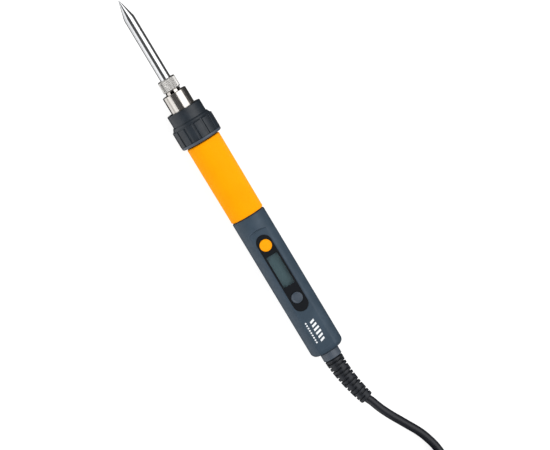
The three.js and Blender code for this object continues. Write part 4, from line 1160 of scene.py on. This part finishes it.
def makeShell(name, node, upper):
    # Rings of half an ellipse: the side is half the width times the sine, the height is the cosine,
    # cut off softly by the flat panel above or by the bench below.
    shape = handle
    station, rounds, inset = (column[:, None] for column in shellRows().T)
    shrink = inset + tailInset(station)
    isRound = rounds > 0
    half = np.where(isRound, rounds, halfWidth(station) - shrink)
    tall = half if upper else np.where(isRound, rounds, depthBelow(station) - shrink)
    reach = np.arccos(np.clip(shape["gap"] / tall, 0, 1))
    share = np.linspace(-1, 1, shape["sideSteps"])[None, :]
    # more points near the seam, where the edge is chamfered
    share = np.sign(share) * (1 - (1 - np.abs(share)) ** shape["crowding"])
    angle = reach * share
    side, up = half * np.sin(angle), tall * np.cos(angle)
    if upper:
        crease = smooth((station - shape["panelStart"] - shape["panelBow"] * side ** 2) / shape["panelRamp"])
        limit = halfWidth(station) + 1 + (shape["panelHeight"] - halfWidth(station) - 1) * crease - shrink
    else:
        limit = axisZ / mm - 0.02 - shrink + 0 * side
    up = np.where(isRound, up, lower(up, limit, shape["soft"]))
    nearSeam = np.clip(1 - (up - shape["gap"]) / shape["seamWide"], 0, 1)
    seam = shape["seamDepth"] * nearSeam * (inset < 1) * ~isRound
    side = side - np.sign(side) * seam
    points = place(station, side, up if upper else -up)
    rows, columns = side.shape
    faces = gridFaces(rows, columns, True, False).tolist()
    i = np.arange(rows)
    faces += [tuple(i * columns), tuple(i[::-1] * columns + columns - 1)]
    return solidFrom(name, points.reshape(-1, 3), faces, 32)


# display window and keys
panel = {"lensGap": 0.15, "lensEdge": 0.22, "keyGap": 0.2, "windowStart": 168.2, "windowEnd": 188.2,
         "windowHalf": 3.5, "windowRound": 0.5, "paneSink": 0.35, "paneThick": 0.5, "keyEdge": 0.4,
         "keyRim": 0.62, "keyDish": 0.22, "keyFoot": 0.95, "paneGap": 0.02, "cutterLow": 4}
keys = {"power": {"radius": 3.55, "finish": "yellowKey", "slot": "button_yellow"},
        "set": {"radius": 3.3, "finish": "greyKey", "slot": "button_grey"}}
for keyName, key in keys.items():
    key["station"] = sum(span(f"{keyName}_button")[:2]) / 2


def windowOutline(gap=0.0):
    # the opening over the display, made smaller all round by a gap
    half = panel["windowHalf"] - gap
    return roundedBox(panel["windowStart"] + gap, panel["windowEnd"] - gap, -half, half,
                      panel["windowRound"] - gap)


def keyHoles():
    # a round opening for each key
    return [circle(key["station"], key["radius"] + panel["keyGap"]) for key in keys.values()]


def makeKey(name):
    # A domed key: a bright rounded rim round a shallow dish, and a wider foot that the shell retains.
    key = keys[name]
    low, high = heights(f"{name}_button")
    footRadius = span(f"{name}_button")[2]
    radius, station = key["radius"], key["station"]
    rim = radius - panel["keyRim"]
    foot, dish = low + panel["keyFoot"], panel["keyDish"]
    profile = rounded([(0, low, 0), (footRadius, low, 0.1), (footRadius, foot, 0.1), (radius, foot, 0),
                       (radius, high, panel["keyEdge"]), (rim, high, 0.25),
                       (rim - 0.35, high - dish, 0.3), (0, high - dish * 0.6, 0)], closed=False)
    piece = turnedUpright(f"{name}_key", station, 0.0, profile, 96)
    return finishPiece(piece, key["finish"], f"{name}_key", key["slot"], f"{name}_button")


def makePlunger(name):
    # a plain post between the key and its switch
    low, high = heights(f"{name}_plunger")
    radius = span(f"{name}_plunger")[2]
    shape = rounded([(0, low, 0), (radius, low, 0.15), (radius, high, 0.3), (0, high, 0)], closed=False)
    piece = turnedUpright(f"{name}_plunger_post", keys[name]["station"], 0.0, shape, 40)
    return finishPiece(piece, "package", f"{name}_key", "component_black", f"{name}_plunger")


def makeWindow():
    # a slot-shaped pane: black from behind except over the display, where a smoked pane sits lower
    start, end, half = span("display_lens")
    low, high = heights("display_lens")
    outlines = [stadium(start, end, half), windowOutline(), *keyHoles()]
    lens = plate("display_lens_black", outlines, low, high, panel["lensEdge"])
    finishPiece(lens, "lens", "handle", "lens_plastic", "display_lens")
    top = high - panel["paneSink"]
    pane = plate("display_pane", [windowOutline(panel["paneGap"])], top - panel["paneThick"], top)
    finishPiece(pane, "pane", "handle", "lens_plastic")


display = {"gap": 0.02, "ledge": 1.2, "edge": 0.08, "round": 0.3, "frameRound": 0.5, "frameEdge": 0.15,
           "frameEnds": 1.4, "frameSides": 0.9}


def makeDisplay():
    # two panes of glass, the upper one shorter to leave a contact ledge, in a white frame
    start, end, half = span("lcd_module")
    low, high = heights("lcd_module")
    middle, edge, corner = (low + high) / 2, display["edge"], display["round"]
    for name, front, bottom, top in (("lcd_rear_glass", start, low, middle - display["gap"]),
                                     ("lcd_front_glass", start + display["ledge"], middle, high)):
        glass = plate(name, [roundedBox(front, end, -half, half, corner)], bottom, top, edge, 2)
        finishPiece(glass, "display", "handle", "display_glass", "lcd_module")
    start, end, half = span("lcd_frame")
    low, high = heights("lcd_frame")
    ends, roomHalf = display["frameEnds"], half - display["frameSides"]
    room = roundedBox(start + ends, end - ends, -roomHalf, roomHalf, corner)
    outline = roundedBox(start, end, -half, half, display["frameRound"])
    rim = plate("lcd_holder", [outline, room], low, high, display["frameEdge"], 2)
    finishPiece(rim, "frame", "handle", "frame_plastic", "lcd_frame")


# a plain mark of bars and dots, printed on the flat behind the keys
mark = {"start": 211.5, "barPitch": 2.35, "barWide": 1.25, "bars": 6, "lean": 0.9, "low": -2.4, "high": 1.3,
        "dotRow": 3.5, "dotSize": 0.95, "dots": 9, "dotPitch": 1.55, "lift": 0.02, "thick": 0.03,
        "shorter": 0.28}


def makeMark():
    # slanted bars that grow shorter away from the middle one, and a row of dots beside them
    middle = (mark["bars"] - 1) / 2
    base = handle["panelHeight"] + mark["lift"]
    parts = []
    for i in range(mark["bars"]):
        s = mark["start"] + i * mark["barPitch"]
        shrink = mark["shorter"] * abs(i - middle)
        low, high = mark["low"] + shrink, mark["high"] - shrink * 0.4
        parts.append([(s, low), (s + mark["barWide"], low), (s + mark["barWide"] + mark["lean"], high),
                      (s + mark["lean"], high)])
    for i in range(mark["dots"]):
        s, half = mark["start"] + i * mark["dotPitch"], mark["dotSize"] / 2
        parts.append(roundedBox(s, s + mark["dotSize"], mark["dotRow"] - half, mark["dotRow"] + half, 0.3, 4))
    pieces = [plate(f"mark_{i}", [outline], base, base + mark["thick"]) for i, outline in enumerate(parts)]
    joined = pieces[0]
    with bpy.context.temp_override(active_object=joined, selected_editable_objects=pieces):
        bpy.ops.object.join()
    joined.name = "printed_mark"
    finishPiece(joined, "print", "handle", "frame_plastic")


def makeShells():
    # both shells, with the panel's openings cut in one and the screw wells in the other
    top = makeShell("handle_shell_top", "handle_top_shell", True)
    start, end, half = span("display_lens")
    low, high = heights("display_lens")
    gap = panel["lensGap"]
    cutters = [plate("recess", [stadium(start - gap, end + gap, half + gap)], low - 0.1, high + 3)]
    for outline in (windowOutline(), *keyHoles()):
        cutters.append(plate("opening", [outline], panel["cutterLow"], low + 0.5))
    for cutter in cutters:
        cutAway(top, cutter)
    finishPiece(top, "handle", "handle", "handle_plastic", "handle_top_shell")
    bottom = makeShell("handle_shell_bottom", "handle_bottom_shell", False)
    for name in ("front", "left", "right"):
        station, side, low, high = screwPlace(name)
        hole = [(s, y + side) for s, y in circle(station, screws["counterbore"], 48)]
        cutAway(bottom, plate("counterbore", [hole], -20, low + screws["headThick"]))
    finishPiece(bottom, "handle", "handle", "handle_plastic", "handle_bottom_shell")


screws = {"head": 2.0, "headThick": 1.3, "counterbore": 2.25, "shank": 1.0, "slotWide": 0.5,
          "slotLong": 1.25, "slotDeep": 0.75, "pitch": 0.8, "threadDepth": 0.16}


def screwPlace(name):
    # station, side, and lowest and highest point of a shell screw, in millimetres
    node = f"shell_screw_{name}"
    low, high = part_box(node)
    return sum(span(node)[:2]) / 2, (low.y + high.y) / 2 / mm, *heights(node)


def makeScrew(name):
    # A pan-head thread-forming screw, head down: a domed head with a cross recess, then a threaded
    # shank with a point.
    station, side, low, high = screwPlace(name)
    shape = screws
    seat = low + shape["headThick"]
    rings = np.linspace(0, shape["head"] - 0.35, 14)
    dome = np.column_stack([rings, low + 0.12 * (rings / shape["head"]) ** 2])
    rim = rounded([(shape["head"] - 0.3, low + 0.1, 0), (shape["head"], low + 0.1, 0.25),
                   (shape["head"], seat, 0.1), (shape["shank"], seat, 0)], closed=False)[1:]
    z = np.linspace(seat, high - 1.2, 110)
    thread = shape["threadDepth"] * np.abs(((z - seat) / shape["pitch"]) % 1 - 0.5) * 2
    shank = np.column_stack([shape["shank"] - thread, z])
    point = np.array([[0.25, high - 0.1], [0, high]])

    def recess(r, z, x, y):
        across = np.minimum(np.abs(x), np.abs(y))
        along = np.maximum(np.abs(x), np.abs(y))
        inside = smooth((shape["slotWide"] / 2 - across) / 0.12 + 0.5)
        inside = inside * smooth((shape["slotLong"] - along) / 0.2)
        return shape["slotDeep"] * inside * (z < low + 0.2)

    profile = np.concatenate([dome, rim, shank, point])
    piece = turnedUpright(f"shell_screw_{name}_crosshead", station, side, profile, 72, recess)
    return finishPiece(piece, "screw", "handle", "screw_steel", f"shell_screw_{name}")


gland = {"faceIn": 233.0, "stem": 5.0, "bore": 3.9, "round": 0.6}


def makeGland():
    # a stepped ring: a stem in the handle's tail, and a wider face behind it
    start, end, radius = span("cord_gland")
    profile = rounded([
        (start, gland["bore"], 0.1), (start, gland["stem"], 0.3), (gland["faceIn"], gland["stem"], 0),
        (gland["faceIn"], radius, 0.25), (end, radius, gland["round"]), (end, gland["bore"], 0.2)])
    piece = turned("cord_gland_ring", profile, 80)
    return finishPiece(piece, "collar", "handle", "relief_rubber", "cord_gland")


makeWindow()
makeDisplay()
for keyName in keys:
    makeKey(keyName)
    makePlunger(keyName)
makeMark()
makeShells()
for screwName in ("front", "left", "right"):
    makeScrew(screwName)
makeGland()
print("shells, display, keys and screws made")

# pieces inside that keep their shape from the frame
innerFinish = {
    "control_board": "board", "mcu_chip": "package", "triac": "package", "drop_capacitor": "capacitor",
    "fuse_resistor": "resistor", "power_switch": "package", "set_switch": "package", "cord_clamp": "handle",
    "clamp_screw_left": "screw", "clamp_screw_right": "screw", "live_lead": "redWire",
    "neutral_lead": "blueWire", "heater_lead_left": "redWire", "heater_lead_right": "redWire",
    "sensor_lead_left": "blueWire", "sensor_lead_right": "blueWire",
}
for node, finish in innerFinish.items():
    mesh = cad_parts[node].data
    mesh.materials.clear()
    mesh.materials.append(finishes[finish])
print("inner pieces finished")


studio = {
    "floorSize": 30, "floorLift": 0.82, "paperDark": 0.28, "paperPale": 0.31,
    # panels: degrees from overhead at which each starts and ends, towards -Y when positive, then
    # distance, brightness and whether the metal mirrors it
    "panels": [("key_panel", 13.5, 72, 1.1, 1.9, True), ("fill_panel", -45, -87, 1.0, 1.3, True),
               ("top_panel", -35, 13, 1.05, 1.05, False)],
    "panelLength": 2.2,
    "worldDim": 0.11, "worldPale": 0.95,
    "cardEdge": 0.026, "cardDepth": 1.2, "cardShade": 0.03, "cardUp": 0.0003, "cardHalf": 1.0,
}


def makeStage():
    # a wide sheet of backdrop paper under the object
    material, tree, shader, where = startMaterial("paperBackdrop", {"Roughness": 0.9})
    fibre = addNode(tree, "TexNoise", inputs={"Vector": where, "Scale": cells(40), "Detail": 4.0})
    ramp = [(0.3, grey(studio["paperDark"])), (0.7, grey(studio["paperPale"]))]
    tint = addNode(tree, "ValToRGB", {"ramp": ramp}, {"Fac": fibre.outputs["Fac"]})
    tree.links.new(tint.outputs["Color"], shader.inputs["Base Color"])
    shader.inputs["Emission Color"].default_value = (1, 1, 1, 1)
    shader.inputs["Emission Strength"].default_value = studio["floorLift"]
    mesh = bpy.data.meshes.new("floor")
    far = studio["floorSize"]
    mesh.from_pydata([(-far, -far, 0), (far, -far, 0), (far, far, 0), (-far, far, 0)], [], [(0, 1, 2, 3)])
    mesh.materials.append(material)
    floor = bpy.data.objects.new("floor", mesh)
    bpy.context.scene.collection.objects.link(floor)


def makePanel(name, start, end, distance, brightness, mirrored):
    # a soft panel between two directions from the iron, as seen along X
    a, b = math.radians(start), math.radians(end)
    one = Vector((0, -math.sin(a), math.cos(a))) * distance
    two = Vector((0, -math.sin(b), math.cos(b))) * distance
    middle = (one + two) / 2 + Vector((view["aim"][0] * mm, 0, axisZ))
    data = bpy.data.lights.new(name, "AREA")
    data.shape = "RECTANGLE"
    data.size = studio["panelLength"]
    data.size_y = (two - one).length
    data.energy = brightness * math.pi * data.size * data.size_y
    lamp = bpy.data.objects.new(name, data)
    across = (two - one).normalized()
    along = Vector((1, 0, 0))
    facing = along.cross(across)
    if facing.dot(one) < 0:
        along, facing = -along, -facing
    lamp.matrix_world = Matrix.Translation(middle) @ Matrix((along, across, facing)).transposed().to_4x4()
    lamp.visible_camera = False
    lamp.visible_glossy = mirrored
    bpy.context.scene.collection.objects.link(lamp)


def makeDarkCard():
    # a dark card on the bench, only in reflections, that gives the metal its dark edges
    material, tree, shader, where = startMaterial("darkCard", {"Roughness": 1.0})
    fibre = addNode(tree, "TexNoise", inputs={"Vector": where, "Scale": cells(30)})
    ramp = [(0.3, grey(studio["cardShade"])), (0.7, grey(studio["cardShade"] * 1.3))]
    tint = addNode(tree, "ValToRGB", {"ramp": ramp}, {"Fac": fibre.outputs["Fac"]})
    tree.links.new(tint.outputs["Color"], shader.inputs["Base Color"])
    mesh = bpy.data.meshes.new("dark_card")
    far, near, up = -studio["cardDepth"], studio["cardEdge"], studio["cardUp"]
    half = studio["cardHalf"]
    mesh.from_pydata([(-half, far, up), (half, far, up), (half, near, up), (-half, near, up)], [],
                     [(0, 1, 2, 3)])
    mesh.materials.append(material)
    card = bpy.data.objects.new("dark_card", mesh)
    card.visible_camera = card.visible_diffuse = card.visible_shadow = card.visible_transmission = False
    bpy.context.scene.collection.objects.link(card)


def makeWorld():
    # dim grey all round, and pale where the camera looks past the floor
    world = bpy.data.worlds.new("studio")
    world.use_nodes = True
    tree = world.node_tree
    sky = tree.nodes["Background"]
    path = addNode(tree, "LightPath")
    shade = addNode(tree, "MixRGB", inputs={"Fac": path.outputs["Is Camera Ray"],
                                            "Color1": grey(studio["worldDim"]),
                                            "Color2": grey(studio["worldPale"])})
    tree.links.new(shade.outputs["Color"], sky.inputs["Color"])
    bpy.context.scene.world = world
    bpy.context.scene.view_settings.view_transform = "Standard"


makeStage()
makeDarkCard()
for softPanel in studio["panels"]:
    makePanel(*softPanel)
makeWorld()
print("studio lit")
